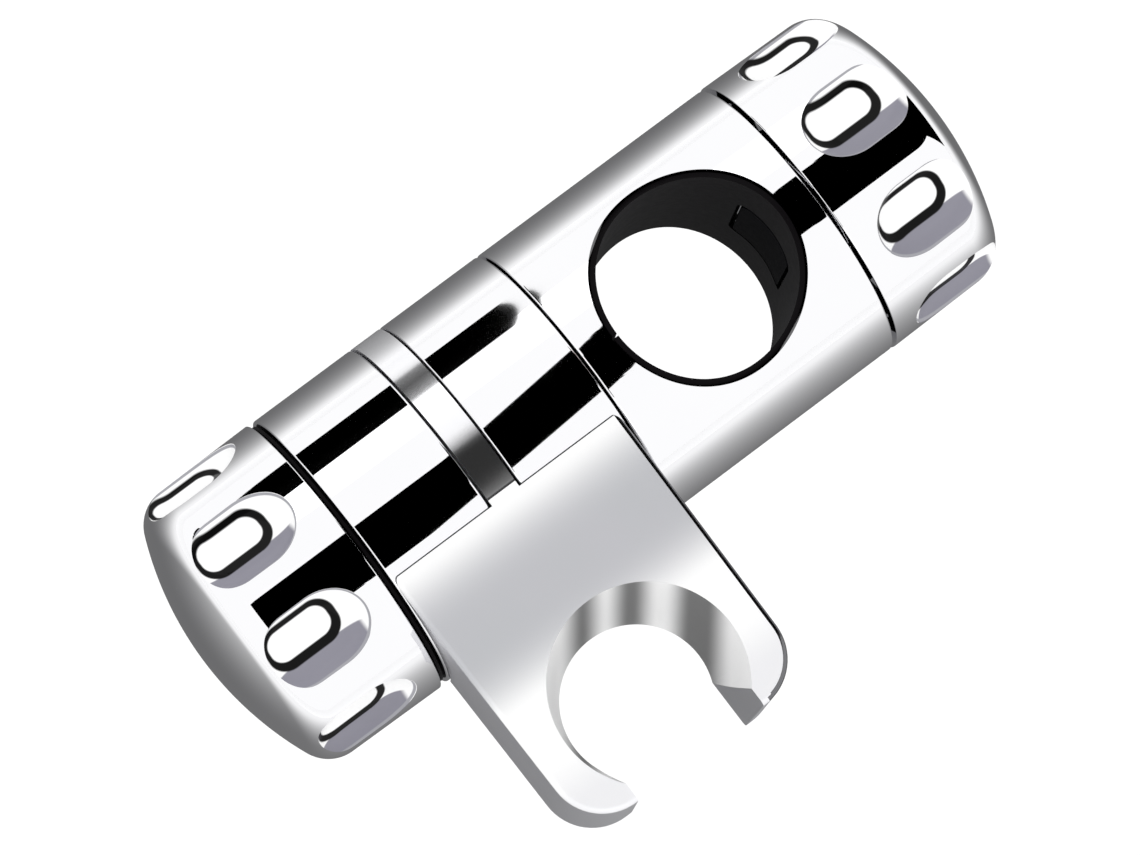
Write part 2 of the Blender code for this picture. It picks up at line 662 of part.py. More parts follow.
def scoop_cutter(name, phase, start, facing):
    """Return the knob's finger scoops as one shape of rounded slugs."""
    shape = bmesh.new()
    floor = KNOB_RADIUS - SCOOP_DEPTH
    top = KNOB_RADIUS + SCOOP_ROUND
    middle = start + facing * (SCOOP_START + SCOOP_LENGTH / 2)
    for index in range(SCOOP_COUNT):
        slug = bmesh.new()
        bmesh.ops.create_cube(slug, size=1.0)
        bmesh.ops.scale(slug, vec=(SCOOP_LENGTH, SCOOP_WIDTH, top - floor), verts=slug.verts)
        upright = [edge for edge in slug.edges if abs(edge.verts[0].co.z - edge.verts[1].co.z) > TOUCH]
        end_round = (SCOOP_WIDTH - SCOOP_END_FLAT) / 2
        bmesh.ops.bevel(
            slug, geom=upright, offset=end_round, segments=SCOOP_END_STEPS, profile=0.5, affect="EDGES"
        )
        low = min(vert.co.z for vert in slug.verts)
        floor_edges = [
            edge for edge in slug.edges if all(abs(vert.co.z - low) < TOUCH / 2 for vert in edge.verts)
        ]
        bmesh.ops.bevel(
            slug, geom=floor_edges, offset=SCOOP_ROUND, segments=2, profile=0.5, affect="EDGES"
        )
        shift = Matrix.Translation((middle, 0.0, (floor + top) / 2))
        turn = Matrix.Rotation(phase + index * 2 * math.pi / SCOOP_COUNT, 4, "X")
        bmesh.ops.transform(slug, matrix=turn @ shift, verts=slug.verts)
        piece = bpy.data.meshes.new(name)
        slug.to_mesh(piece)
        slug.free()
        shape.from_mesh(piece)
        bpy.data.meshes.remove(piece)
    return from_bmesh(name, shape, cutters)


def make_knob(name, material, start, facing, hub, hub_radius, phase):
    """Turn a knob with its hub, cut its scoops and add its ribs.

    hub is the profile from the hub's outer wall to the axis, and stations
    are counted from the knob's rim towards its apex.
    """
    profile = knob_outside() + knob_inside(hub_radius) + hub
    knob = turned(name, profile, KNOB_STEPS, closed=False, facing=facing, start=start)
    combine(knob, scoop_cutter(f"{name}_scoops", phase, start, facing))
    rib_phase = phase + math.pi / SCOOP_COUNT
    rib_end = knob_inside(hub_radius)[1][1] + TOUCH
    low, high = sorted((start + facing * KNOB_RIB_START, start + facing * rib_end))
    rib_outer = KNOB_INNER_RADIUS + TOUCH
    ribs = spread_boxes(
        f"{name}_ribs", SCOOP_COUNT, rib_phase, hub_radius - TOUCH, rib_outer, KNOB_RIB, low, high
    )
    combine(knob, ribs, "UNION")
    return knob


def make_rail_knob(material):
    """Make the rail knob with the guide tube that runs on the body's neck."""
    guide_radius = GUIDE_BORE_RADIUS + GUIDE_WALL
    floor = GUIDE_FLOOR - RAIL_KNOB_START
    hub = [
        (guide_radius, GUIDE_START),
        (GUIDE_BORE_RADIUS, GUIDE_START),
        (GUIDE_BORE_RADIUS, floor),
        (0.0, floor),
    ]
    knob = make_knob(
        "rail_knob", material, RAIL_KNOB_START, 1, hub, guide_radius, RAIL_KNOB_SCOOP_PHASE
    )
    pocket_radius = hex_radius(SCREW_HEAD_FLATS + 2 * SEAT_GAP)
    pocket = rod("screw_head_pocket", pocket_radius, GUIDE_FLOOR - OVERCUT, HEAD_POCKET_END, 6)
    combine(knob, pocket)
    return finish(knob, material)


def make_rail_knob_retainer(material):
    """Turn the disc that closes the screw head's pocket."""
    outer = GUIDE_BORE_RADIUS - SEAT_GAP
    high = RAIL_RETAINER_START + RETAINER_THICKNESS
    profile = ring_profile(outer, STUD_BORE_RADIUS, RAIL_RETAINER_START, high)
    return finish(turned("rail_knob_retainer", profile, SMALL_STEPS), material)


def make_barrel_right(material):
    """Turn the cup with its hub and spigot, cut the spigot's flats, add ribs and dogs."""
    web_back = WEB_RIGHT_FACE + BARREL_WEB
    recess_outer = WASHER_OUTER_RADIUS + SEAT_GAP
    recess_inner = WASHER_INNER_RADIUS - SEAT_GAP
    profile = [
        (BARREL_RADIUS, SLEEVE_RIGHT - EDGE_BREAK),
        (BARREL_RADIUS, WEB_RIGHT_FACE + EDGE_BREAK),
        (BARREL_RADIUS - EDGE_BREAK, WEB_RIGHT_FACE),
        (recess_outer, WEB_RIGHT_FACE),
        (recess_outer, WEB_RIGHT_FACE + WASHER_RECESS),
        (recess_inner, WEB_RIGHT_FACE + WASHER_RECESS),
        (recess_inner, WEB_RIGHT_FACE),
        (SPIGOT_RADIUS, WEB_RIGHT_FACE),
        (SPIGOT_RADIUS, SPIGOT_END),
        (BOLT_HOLE_RADIUS, SPIGOT_END),
        (BOLT_HOLE_RADIUS, SLEEVE_RIGHT),
        (BARREL_HUB_RADIUS, SLEEVE_RIGHT),
        (BARREL_HUB_RADIUS, web_back),
        (BARREL_INNER_RADIUS, web_back),
        (BARREL_INNER_RADIUS, SLEEVE_RIGHT),
        (BARREL_RADIUS - EDGE_BREAK, SLEEVE_RIGHT),
    ]
    barrel = turned("barrel_right", profile, BARREL_STEPS)
    for side in (-1, 1):
        near = side * SPIGOT_FLAT
        far = side * (SPIGOT_RADIUS + SEAT_GAP)
        low = (SPIGOT_END - SEAT_GAP, -SPIGOT_RADIUS - SEAT_GAP, min(near, far))
        high = (WEB_LEFT_FACE + SEAT_GAP / 2, SPIGOT_RADIUS + SEAT_GAP, max(near, far))
        combine(barrel, block("spigot_flat_cut", low, high))
        dog_near = side * DOG_INNER
        dog_far = side * DOG_OUTER
        half = DOG_WIDTH / 2
        dog_low = (SLEEVE_RIGHT - DOG_REACH, min(dog_near, dog_far), -half)
        dog_high = (SLEEVE_RIGHT + DOG_REACH, max(dog_near, dog_far), half)
        combine(barrel, block("barrel_dog", dog_low, dog_high), "UNION")
    ribs = spread_boxes(
        "barrel_right_ribs",
        BARREL_RIB_COUNT,
        math.pi / BARREL_RIB_COUNT,
        BARREL_HUB_RADIUS - SEAT_GAP,
        BARREL_INNER_RADIUS + SEAT_GAP,
        BARREL_RIB,
        web_back - SEAT_GAP,
        SLEEVE_RIGHT - BARREL_RIB_SETBACK,
    )
    combine(barrel, ribs, "UNION")
    return finish(barrel, material)


def make_barrel_left(material):
    """Turn the cup, cut the keyed bore that takes the spigot and add ribs."""
    web_back = WEB_LEFT_FACE - BARREL_WEB
    recess_outer = WASHER_OUTER_RADIUS + SEAT_GAP
    recess_inner = WASHER_INNER_RADIUS - SEAT_GAP
    profile = [
        (0.0, WEB_LEFT_FACE),
        (recess_inner, WEB_LEFT_FACE),
        (recess_inner, WEB_LEFT_FACE - WASHER_RECESS),
        (recess_outer, WEB_LEFT_FACE - WASHER_RECESS),
        (recess_outer, WEB_LEFT_FACE),
        (BARREL_RADIUS - EDGE_BREAK, WEB_LEFT_FACE),
        (BARREL_RADIUS, WEB_LEFT_FACE - EDGE_BREAK),
        (BARREL_RADIUS, SLEEVE_LEFT + EDGE_BREAK),
        (BARREL_RADIUS - EDGE_BREAK, SLEEVE_LEFT),
        (BARREL_INNER_RADIUS, SLEEVE_LEFT),
        (BARREL_INNER_RADIUS, web_back),
        (LEFT_HUB_RADIUS, web_back),
        (LEFT_HUB_RADIUS, LEFT_HUB_END),
        (0.0, LEFT_HUB_END),
    ]
    barrel = turned("barrel_left", profile, BARREL_STEPS, closed=False)
    bore = double_d(
        "spigot_bore_cut",
        SPIGOT_RADIUS + SEAT_GAP,
        SPIGOT_FLAT + SEAT_GAP,
        LEFT_HUB_END - BARREL_WEB,
        WEB_LEFT_FACE + BARREL_WEB,
    )
    combine(barrel, bore)
    ribs = spread_boxes(
        "barrel_left_ribs",
        BARREL_RIB_COUNT,
        math.pi / BARREL_RIB_COUNT,
        LEFT_HUB_RADIUS - SEAT_GAP,
        BARREL_INNER_RADIUS + SEAT_GAP,
        BARREL_RIB,
        LEFT_HUB_END,
        web_back + SEAT_GAP,
    )
    combine(barrel, ribs, "UNION")
    return finish(barrel, material)


def make_friction_washer(name, low, material):
    """Turn one friction washer, seated in a barrel's web."""
    profile = ring_profile(WASHER_OUTER_RADIUS, WASHER_INNER_RADIUS, low, low + WASHER_THICKNESS)
    return finish(turned(name, profile, SMALL_STEPS), material)


def make_pivot_bush(material):
    """Turn the bush that the arm's ring turns on."""
    profile = ring_profile(BUSH_OUTER_RADIUS, BUSH_INNER_RADIUS, RING_LEFT, RING_RIGHT)
    return finish(turned("pivot_bush", profile, SMALL_STEPS), material)


def make_tilt_bolt(material):
    """Turn the bolt, join its square neck and mill its flats."""
    profile = [
        (0.0, BOLT_HEAD_START),
        (BOLT_HEAD_RADIUS - EDGE_BREAK, BOLT_HEAD_START),
        (BOLT_HEAD_RADIUS, BOLT_HEAD_START - EDGE_BREAK),
        (BOLT_HEAD_RADIUS, BOLT_HEAD_SEAT),
        (TILT_BOLT_RADIUS, BOLT_HEAD_SEAT),
        (TILT_BOLT_RADIUS, TILT_BOLT_END + EDGE_BREAK),
        (TILT_BOLT_RADIUS - EDGE_BREAK, TILT_BOLT_END),
        (0.0, TILT_BOLT_END),
    ]
    bolt = turned("tilt_bolt", profile, SMALL_STEPS, closed=False)
    half = TILT_BOLT_RADIUS
    neck = block("bolt_neck", (BOLT_NECK_END, -half, -half), (BOLT_HEAD_SEAT + EDGE_BREAK, half, half))
    combine(bolt, neck, "UNION")
    for side in (-1, 1):
        near = side * BOLT_FLAT
        far = side * (TILT_BOLT_RADIUS + SEAT_GAP)
        low = (TILT_BOLT_END - SEAT_GAP, -half - SEAT_GAP, min(near, far))
        high = (SPRING_B_START, half + SEAT_GAP, max(near, far))
        combine(bolt, block("bolt_flat_cut", low, high))
    return finish(bolt, material)


def make_spring_washer(name, high, outer_drop, inner_drop, material):
    """Turn one disc spring, its outer or inner edge dropped by the cone's height."""
    inner = BOLT_HOLE_RADIUS + SEAT_GAP
    outer_high = high - outer_drop
    inner_high = high - inner_drop
    profile = [
        (SPRING_RADIUS, outer_high),
        (SPRING_RADIUS, outer_high - SPRING_THICKNESS),
        (inner, inner_high - SPRING_THICKNESS),
        (inner, inner_high),
    ]
    return finish(turned(name, profile, SMALL_STEPS), material)


def make_keyed_washer(material):
    """Make the washer whose double-D bore slides on the bolt's flats."""
    washer = rod("keyed_washer", KEYED_WASHER_RADIUS, KEYED_WASHER_END, KEYED_WASHER_START)
    bore = double_d(
        "keyed_bore_cut",
        TILT_BOLT_RADIUS + SEAT_GAP,
        BOLT_FLAT + SEAT_GAP,
        KEYED_WASHER_END - KEYED_WASHER_THICKNESS,
        KEYED_WASHER_START + KEYED_WASHER_THICKNESS,
    )
    combine(washer, bore)
    return finish(washer, material)


def make_tilt_dust_ring(material):
    """Turn the ring that closes the seam between the left barrel and its knob."""
    flange_high = SLEEVE_LEFT - SEAT_GAP
    flange_low = flange_high - DUST_RING_FLANGE
    skirt = BARREL_INNER_RADIUS - SEAT_GAP
    profile = [
        (skirt, flange_low + DUST_RING_DEPTH),
        (skirt, flange_high),
        (DUST_RING_RADIUS, flange_high),
        (DUST_RING_RADIUS, flange_low),
        (skirt - DUST_RING_SKIRT, flange_low),
        (skirt - DUST_RING_SKIRT, flange_low + DUST_RING_DEPTH),
    ]
    return finish(turned("tilt_dust_ring", profile, BARREL_STEPS), material)


def make_tilt_knob(material):
    """Make the tilt knob with the long hub that reaches the clamp stack."""
    nut_radius = hex_radius(TILT_NUT_FLATS + 2 * SEAT_GAP)
    hub_radius = nut_radius + TILT_HUB_WALL
    hub_end = TILT_KNOB_START - TILT_HUB_END
    pocket = TILT_KNOB_START - TILT_NUT_POCKET
    bore_end = TILT_KNOB_START - TILT_BORE_END
    retainer_bore = nut_radius + SEAT_GAP
    hub = [
        (hub_radius, hub_end),
        (retainer_bore, hub_end),
        (retainer_bore, pocket),
        (BOLT_HOLE_RADIUS, pocket),
        (BOLT_HOLE_RADIUS, bore_end),
        (0.0, bore_end),
    ]
    knob = make_knob("tilt_knob", material, TILT_KNOB_START, -1, hub, hub_radius, TILT_KNOB_SCOOP_PHASE)
    nut_pocket = rod("tilt_nut_pocket", nut_radius, TILT_NUT_END - SEAT_GAP, TILT_NUT_POCKET + SEAT_GAP, 6)
    combine(knob, nut_pocket)
    return finish(knob, material)


def make_tilt_nut(material):
    """Make the hexagonal nut that the knob's hub holds."""
    nut = rod("tilt_nut", hex_radius(TILT_NUT_FLATS), TILT_NUT_END, TILT_NUT_START, 6)
    bore = rod("tilt_nut_bore", BOLT_HOLE_RADIUS, TILT_NUT_END - OVERCUT, TILT_NUT_START + OVERCUT)
    combine(nut, bore)
    return finish(nut, material)


def make_tilt_knob_retainer(material):
    """Turn the disc that closes the nut's pocket."""
    outer = hex_radius(TILT_NUT_FLATS + 2 * SEAT_GAP)
    low = TILT_RETAINER_START - RETAINER_THICKNESS
    profile = ring_profile(outer, BOLT_HOLE_RADIUS, low, TILT_RETAINER_START)
    return finish(turned("tilt_knob_retainer", profile, SMALL_STEPS), material)


def arm_outline(root_half, tip_half, reach, corner):
    """Return the arm's outline as points about its own centre line, root first."""
    points = [(root_half, -ARM_ROOT_START), (-root_half, -ARM_ROOT_START)]
    for side in (-1, 1):
        arc = []
        for index in range(ARC_STEPS + 1):
            angle = math.pi / 2 * index / ARC_STEPS
            arc.append(
                (
                    side * (tip_half - corner + corner * math.cos(angle)),
                    -(reach - corner + corner * math.sin(angle)),
                )
            )
        points.extend(arc if side < 0 else reversed(arc))
    return points


def slab(name, outline, low, high, centre_x):
    """Extrude an outline between two heights with a filled curve, as a mesh."""
    curve = bpy.data.curves.new(name, "CURVE")
    curve.dimensions = "2D"
    curve.fill_mode = "BOTH"
    curve.extrude = (high - low) / 2
    spline = curve.splines.new("POLY")
    spline.points.add(len(outline) - 1)
    for point, place_2d in zip(spline.points, outline):
        point.co = (place_2d[0], place_2d[1], 0.0, 1.0)
    spline.use_cyclic_u = True
    guide = bpy.data.objects.new(f"{name}_curve", curve)
    guide.location = (centre_x, 0.0, (low + high) / 2)
    cutters.objects.link(guide)
    bpy.context.view_layer.update()
    graph = bpy.context.evaluated_depsgraph_get()
    mesh = bpy.data.meshes.new_from_object(guide.evaluated_get(graph))
    shape = bmesh.new()
    shape.from_mesh(mesh)
    bmesh.ops.remove_doubles(shape, verts=shape.verts, dist=0.000001)
    bmesh.ops.recalc_face_normals(shape, faces=shape.faces)
    shape.to_mesh(mesh)
    shape.free()
    obj = bpy.data.objects.new(name, mesh)
    obj.matrix_world = guide.matrix_world.copy()
    cutters.objects.link(obj)
    bpy.data.objects.remove(guide, do_unlink=True)
    return obj


def cradle_cone(name, extra, low, high, steps):
    """Return the handset's cone, widened by extra, between two heights."""
    slope = (CRADLE_TOP_RADIUS - CRADLE_BOTTOM_RADIUS) / ARM_DEPTH
    bpy.ops.mesh.primitive_cone_add(
        vertices=steps,
        radius1=CRADLE_BOTTOM_RADIUS + extra + slope * (low - ARM_BOTTOM),
        radius2=CRADLE_BOTTOM_RADIUS + extra + slope * (high - ARM_BOTTOM),
        depth=high - low,
        location=(RING_CENTRE, -CRADLE_REACH, (low + high) / 2),
    )
    cone = bpy.context.object
    cone.name = name
    return cone


def mouth_cutter():
    """Return the tapered slot that opens the cradle at its front."""
    slope = (MOUTH_TOP_HALF_WIDTH - MOUTH_BOTTOM_HALF_WIDTH) / ARM_DEPTH
    mouth = block(
        "cradle_mouth_cut",
        (RING_CENTRE - MOUTH_TOP_HALF_WIDTH, -ARM_REACH - OVERCUT, ARM_BOTTOM - OVERCUT),
        (RING_CENTRE + MOUTH_TOP_HALF_WIDTH, -CRADLE_REACH, ARM_TOP + OVERCUT),
    )
    for vert in mouth.data.vertices:
        half = MOUTH_BOTTOM_HALF_WIDTH + slope * (vert.co.z - ARM_BOTTOM)
        vert.co.x = RING_CENTRE + math.copysign(half, vert.co.x - RING_CENTRE)
    return mouth


def arm_cores():
    """Return the two pockets cored into the arm's underside."""
    outline = arm_outline(
        ARM_ROOT_HALF_WIDTH - CORE_WALL,
        ARM_TIP_HALF_WIDTH - CORE_WALL,
        ARM_REACH - CORE_WALL,
        ARM_CORNER_RADIUS - CORE_WALL,
    )
    cores = slab("arm_core", outline, ARM_BOTTOM - OVERCUT, ARM_TOP - CORE_ROOF, RING_CENTRE)
    reach = ARM_ROOT_HALF_WIDTH + CORE_WALL
    root = rod(
        "core_root_wall",
        BARREL_RADIUS + SEAT_GAP + CORE_WALL,
        RING_CENTRE - reach,
        RING_CENTRE + reach,
        BARREL_STEPS,
    )
    combine(cores, root)
    below = ARM_BOTTOM - 2 * OVERCUT
    combine(cores, cradle_cone("core_cradle_wall", CORE_WALL, below, ARM_TOP, BORE_STEPS))
    front = block(
        "core_front_wall",
        (RING_CENTRE - reach, -ARM_REACH, below),
        (RING_CENTRE + reach, -CRADLE_REACH + CORE_FRONT_SETBACK, ARM_TOP),
    )
    combine(cores, front)
    rib = block(
        "core_rib",
        (RING_CENTRE - CORE_RIB / 2, -ARM_REACH, below),
        (RING_CENTRE + CORE_RIB / 2, 0.0, ARM_TOP),
    )
    combine(cores, rib)
    return cores


def make_holder_arm(material):
    """Make the arm and its ring as one casting, cut the cradle and core it."""
    outline = arm_outline(ARM_ROOT_HALF_WIDTH, ARM_TIP_HALF_WIDTH, ARM_REACH, ARM_CORNER_RADIUS)
    arm = slab("holder_arm", outline, ARM_BOTTOM, ARM_TOP, RING_CENTRE)
    edge_round = arm.modifiers.new("Edge round", "BEVEL")
    edge_round.width = ARM_EDGE_ROUND
    edge_round.segments = 2
    edge_round.limit_method = "ANGLE"
    edge_round.angle_limit = math.radians(60.0)
    barrel_cut_radius = BARREL_RADIUS + SEAT_GAP
    far = ARM_ROOT_HALF_WIDTH + OVERCUT
    combine(arm, rod("left_barrel_cut", barrel_cut_radius, RING_CENTRE - far, RING_LEFT, BARREL_STEPS))
    combine(arm, rod("right_barrel_cut", barrel_cut_radius, RING_RIGHT, RING_CENTRE + far, BARREL_STEPS))
    combine(arm, rod("ring", BARREL_RADIUS, RING_LEFT, RING_RIGHT, BARREL_STEPS), "UNION")
    combine(arm, rod("bush_bore_cut", RING_BORE_RADIUS, RING_LEFT - OVERCUT, RING_RIGHT + OVERCUT))
    cradle = cradle_cone("cradle_cut", 0.0, ARM_BOTTOM - OVERCUT, ARM_TOP + OVERCUT, BARREL_STEPS)
    combine(arm, cradle)
    combine(arm, mouth_cutter())
    combine(arm, arm_cores())
    return finish(arm, material)


def main():
    """Build the slider."""
    global parts, cutters
    clear_scene()
    parts = make_collection("shower_rail_slider")
    cutters = make_collection("cutters")

    chrome = make_material("chrome", (0.80, 0.80, 0.82), 0.06, 1.0)
    satin = make_material("satin_chrome", (0.74, 0.74, 0.77), 0.32, 1.0)
    liner = make_material("black_acetal", (0.012, 0.011, 0.012), 0.38, 0.0)
    rubber = make_material("black_rubber", (0.006, 0.006, 0.008), 0.62, 0.0)
    steel = make_material("stainless_steel", (0.56, 0.56, 0.58), 0.28, 1.0)
    brass = make_material("brass", (0.72, 0.52, 0.22), 0.25, 1.0)
    nylon = make_material("white_nylon", (0.72, 0.71, 0.68), 0.45, 0.0)

    make_body_shell(chrome)
    make_rail_liner(liner)
    make_clamp_shoe(liner)
    make_shoe_pad(rubber)
    make_clamp_screw(steel)
    make_clamp_insert(brass)
    make_neck_o_ring(rubber)
    make_rail_knob(chrome)
    make_rail_knob_retainer(nylon)
    make_barrel_right(chrome)
    make_barrel_left(chrome)
    make_friction_washer("friction_washer_right", WEB_RIGHT_FACE, nylon)
    make_friction_washer("friction_washer_left", WEB_LEFT_FACE - WASHER_THICKNESS, nylon)
    make_holder_arm(satin)
    make_pivot_bush(nylon)
    make_tilt_bolt(steel)
    make_spring_washer("spring_washer_inner", SPRING_A_START, 0.0, SPRING_CONE, steel)
    make_spring_washer("spring_washer_outer", SPRING_B_START, SPRING_CONE, 0.0, steel)
    make_keyed_washer(steel)
    make_tilt_dust_ring(liner)
    make_tilt_knob(chrome)
    make_tilt_nut(brass)
    make_tilt_knob_retainer(nylon)


if __name__ == "__main__":
    main()
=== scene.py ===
"""Looks of the shower rail slider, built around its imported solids.

The slider rides on a round riser rail along Z. Its chrome barrel lies along X,
with a scooped clamp knob at each end, and the satin arm with the open cradle
points along -Y. Every size is in metres.
"""

import contextlib
import logging
import math
from dataclasses import dataclass, field
from enum import Enum, IntEnum
from typing import Callable, Iterator, Sequence

import bmesh
import bpy
from mathutils import Matrix, Vector


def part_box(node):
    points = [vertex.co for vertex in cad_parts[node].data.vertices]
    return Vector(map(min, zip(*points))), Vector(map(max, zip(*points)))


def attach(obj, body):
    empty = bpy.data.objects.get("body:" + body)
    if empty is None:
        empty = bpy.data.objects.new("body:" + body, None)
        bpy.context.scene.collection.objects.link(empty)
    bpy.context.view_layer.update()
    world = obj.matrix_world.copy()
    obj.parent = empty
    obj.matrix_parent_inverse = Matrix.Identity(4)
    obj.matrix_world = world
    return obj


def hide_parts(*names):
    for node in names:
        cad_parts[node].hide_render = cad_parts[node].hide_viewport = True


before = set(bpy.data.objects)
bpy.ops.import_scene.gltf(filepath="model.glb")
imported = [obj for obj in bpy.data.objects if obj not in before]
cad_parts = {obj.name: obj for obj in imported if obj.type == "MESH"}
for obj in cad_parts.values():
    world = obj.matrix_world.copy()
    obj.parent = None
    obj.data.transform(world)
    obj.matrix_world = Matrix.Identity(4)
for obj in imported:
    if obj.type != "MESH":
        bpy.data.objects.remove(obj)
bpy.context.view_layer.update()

log = logging.getLogger("slider")

# The running clearance between neighbouring pieces.
GAP = 0.0003
# How close two points count as one.
NEAR = 0.000001
# How close a face's middle counts as lying on a surface.
NEAR_FACE = GAP / 10
# How far a tool reaches beyond what it cuts.
SPARE = 0.0010
SMOOTH_ANGLE = math.radians(30.0)
FULL_TURN = 2 * math.pi
HEX_SIDES = 6
# How fine a grain's noise is, and how much wider the roughness varies than the grain.
GRAIN_DETAIL = 3.0
SPREAD_WIDTH = 4

Piece = bpy.types.Object
Span = tuple[float, float]
Point = tuple[float, float, float]
Colour = tuple[float, float, float]


class Axis(Enum):
    """An axis that a piece is turned about."""

    BARREL = Vector((1.0, 0.0, 0.0))
    RAIL = Vector((0.0, 0.0, 1.0))
    ACROSS = Vector((0.0, 1.0, 0.0))

    def place(self, station: float, radius: float) -> Vector:
        """Return the point of a profile, on the side that the spin starts from."""
        side = Axis.RAIL.value if self is not Axis.RAIL else Axis.BARREL.value
        return self.value * station + side * radius

    def turn(self) -> Point:
        """Return the turn that brings a primitive's own axis onto this one."""
        if self is Axis.BARREL:
            return (0.0, math.pi / 2, 0.0)
        if self is Axis.ACROSS:
            return (math.pi / 2, 0.0, 0.0)
        return (0.0, 0.0, 0.0)


class Join(Enum):
    """What a tool does to the piece that it meets."""

    CUT = "DIFFERENCE"
    ADD = "UNION"
    KEEP = "INTERSECT"


@dataclass(frozen=True)
class Corner:
    """One corner of a turned profile, with the radius that rounds it."""

    station: float
    radius: float
    round: float = 0.0


def profile(*places: Sequence[float]) -> list[Corner]:
    """Return the corners at the given stations and radii, rounded where a third number is given."""
    return [Corner(*place) for place in places]


class Bench:
    """Modelling moves, each made with Blender's own tools."""

    SEED = 0.0010
    ROUND_STEPS = 4

    @staticmethod
    def pick(*pieces: Piece) -> None:
        """Select the given pieces alone and make the first one active."""
        bpy.ops.object.select_all(action="DESELECT")
        for piece in pieces:
            piece.select_set(True)
        bpy.context.view_layer.objects.active = pieces[0]

    @staticmethod
    @contextlib.contextmanager
    def editing(piece: Piece) -> Iterator[None]:
        """Hold a piece in edit mode while its shape is worked on."""
        Bench.pick(piece)
        bpy.ops.object.mode_set(mode="EDIT")
        bpy.ops.mesh.select_mode(type="VERT")
        yield
        bpy.ops.object.mode_set(mode="OBJECT")

    @staticmethod
    def mark_points(piece: Piece, test: Callable[[Vector], bool]) -> None:
        """Select the points of an edited piece whose place passes a test."""
        bpy.ops.mesh.select_all(action="DESELECT")
        mesh = bmesh.from_edit_mesh(piece.data)
        for point in mesh.verts:
            point.select_set(test(point.co))
        mesh.select_flush(True)
        bmesh.update_edit_mesh(piece.data)

    @staticmethod
    def mark_edges(piece: Piece, test: Callable[[Vector, Vector], bool]) -> None:
        """Select the edges of an edited piece whose two ends pass a test."""
        bpy.ops.mesh.select_mode(type="EDGE")
        bpy.ops.mesh.select_all(action="DESELECT")
        mesh = bmesh.from_edit_mesh(piece.data)
        for edge in mesh.edges:
            edge.select_set(test(edge.verts[0].co, edge.verts[1].co))
        bmesh.update_edit_mesh(piece.data)

    @staticmethod
    def settle(piece: Piece, name: str) -> Piece:
        """Apply a piece's place, turn and scale to its mesh and name it."""
        Bench.pick(piece)
        bpy.ops.object.transform_apply(location=True, rotation=True, scale=True)
        piece.name = name
        piece.data.name = name
        return piece

    @staticmethod
    def block(name: str, low: Sequence[float], high: Sequence[float]) -> Piece:
        """Return a box between two corners."""
        low_corner = Vector(low)
        high_corner = Vector(high)
        bpy.ops.mesh.primitive_cube_add(size=1.0, location=(low_corner + high_corner) / 2)
        bpy.context.object.scale = high_corner - low_corner
        return Bench.settle(bpy.context.object, name)

    @staticmethod
    def rod(
        name: str, radius: float, low: float, high: float, steps: int, axis: Axis = Axis.BARREL,
        centre: Sequence[float] = (0.0, 0.0, 0.0), top_radius: float | None = None,
    ) -> Piece:
        """Return a rod or a cone between two stations of an axis.

        Args:
            name: The piece's name.
            radius: Its radius, at the low end.
            low: The station where it starts.
            high: The station where it ends.
            steps: How many sides it has.
            axis: The axis that it runs along.
            centre: A point that its axis is moved through.
            top_radius: The radius at the high end, where it differs.

        Returns:
            The rod.
        """
        bpy.ops.mesh.primitive_cone_add(
            vertices=steps,
            radius1=radius,
            radius2=radius if top_radius is None else top_radius,
            depth=high - low,
            location=Vector(centre) + axis.value * (low + high) / 2,
            rotation=axis.turn(),
        )
        return Bench.settle(bpy.context.object, name)

    @staticmethod
    def turned(
        name: str, corners: Sequence[Corner], steps: int, axis: Axis = Axis.BARREL, closed: bool = True
    ) -> Piece:
        """Draw a profile point by point, round its corners and spin it.

        Args:
            name: The piece's name.
            corners: The profile's corners in order.
            steps: How many steps the spin takes.
            axis: The axis of the spin.
            closed: Whether the profile joins its own start, as a ring's does.

        Returns:
            The turned piece.
        """
        places = [axis.place(corner.station, corner.radius) for corner in corners]
        bpy.ops.mesh.primitive_plane_add(size=Bench.SEED)
        piece = bpy.context.object
        with Bench.editing(piece):
            bpy.ops.mesh.select_all(action="SELECT")
            bpy.ops.mesh.merge(type="CENTER")
            bpy.ops.transform.translate(value=places[0])
            for here, there in zip(places, places[1:]):
                bpy.ops.mesh.extrude_vertices_move(TRANSFORM_OT_translate={"value": there - here})
            if closed:
                bpy.ops.mesh.select_all(action="SELECT")
                bpy.ops.mesh.edge_face_add()
                bpy.ops.mesh.delete(type="ONLY_FACE")
            for size in sorted({corner.round for corner in corners if corner.round > 0.0}):
                rounded = [place for place, corner in zip(places, corners) if corner.round == size]
                Bench.mark_points(piece, lambda co: any((co - place).length < NEAR for place in rounded))
                bpy.ops.mesh.bevel(offset=size, segments=Bench.ROUND_STEPS, affect="VERTICES")
            bpy.ops.mesh.select_all(action="SELECT")
            bpy.ops.mesh.spin(steps=steps, angle=FULL_TURN, center=(0.0, 0.0, 0.0), axis=axis.value)
            bpy.ops.mesh.select_all(action="SELECT")
            bpy.ops.mesh.remove_doubles(threshold=NEAR)
            bpy.ops.mesh.normals_make_consistent(inside=False)
        return Bench.settle(piece, name)

    @staticmethod
    def combine(piece: Piece, *tools: Piece, join: Join = Join.CUT) -> None:
        """Cut, join or trim a piece with tools, one after another, which are used up."""
        for tool in tools:
            Bench.pick(piece)
            modifier = piece.modifiers.new(tool.name, "BOOLEAN")
            modifier.operation = join.value
            modifier.solver = "EXACT"
            modifier.object = tool
            bpy.ops.object.modifier_apply(modifier=modifier.name)
            bpy.data.objects.remove(tool, do_unlink=True)

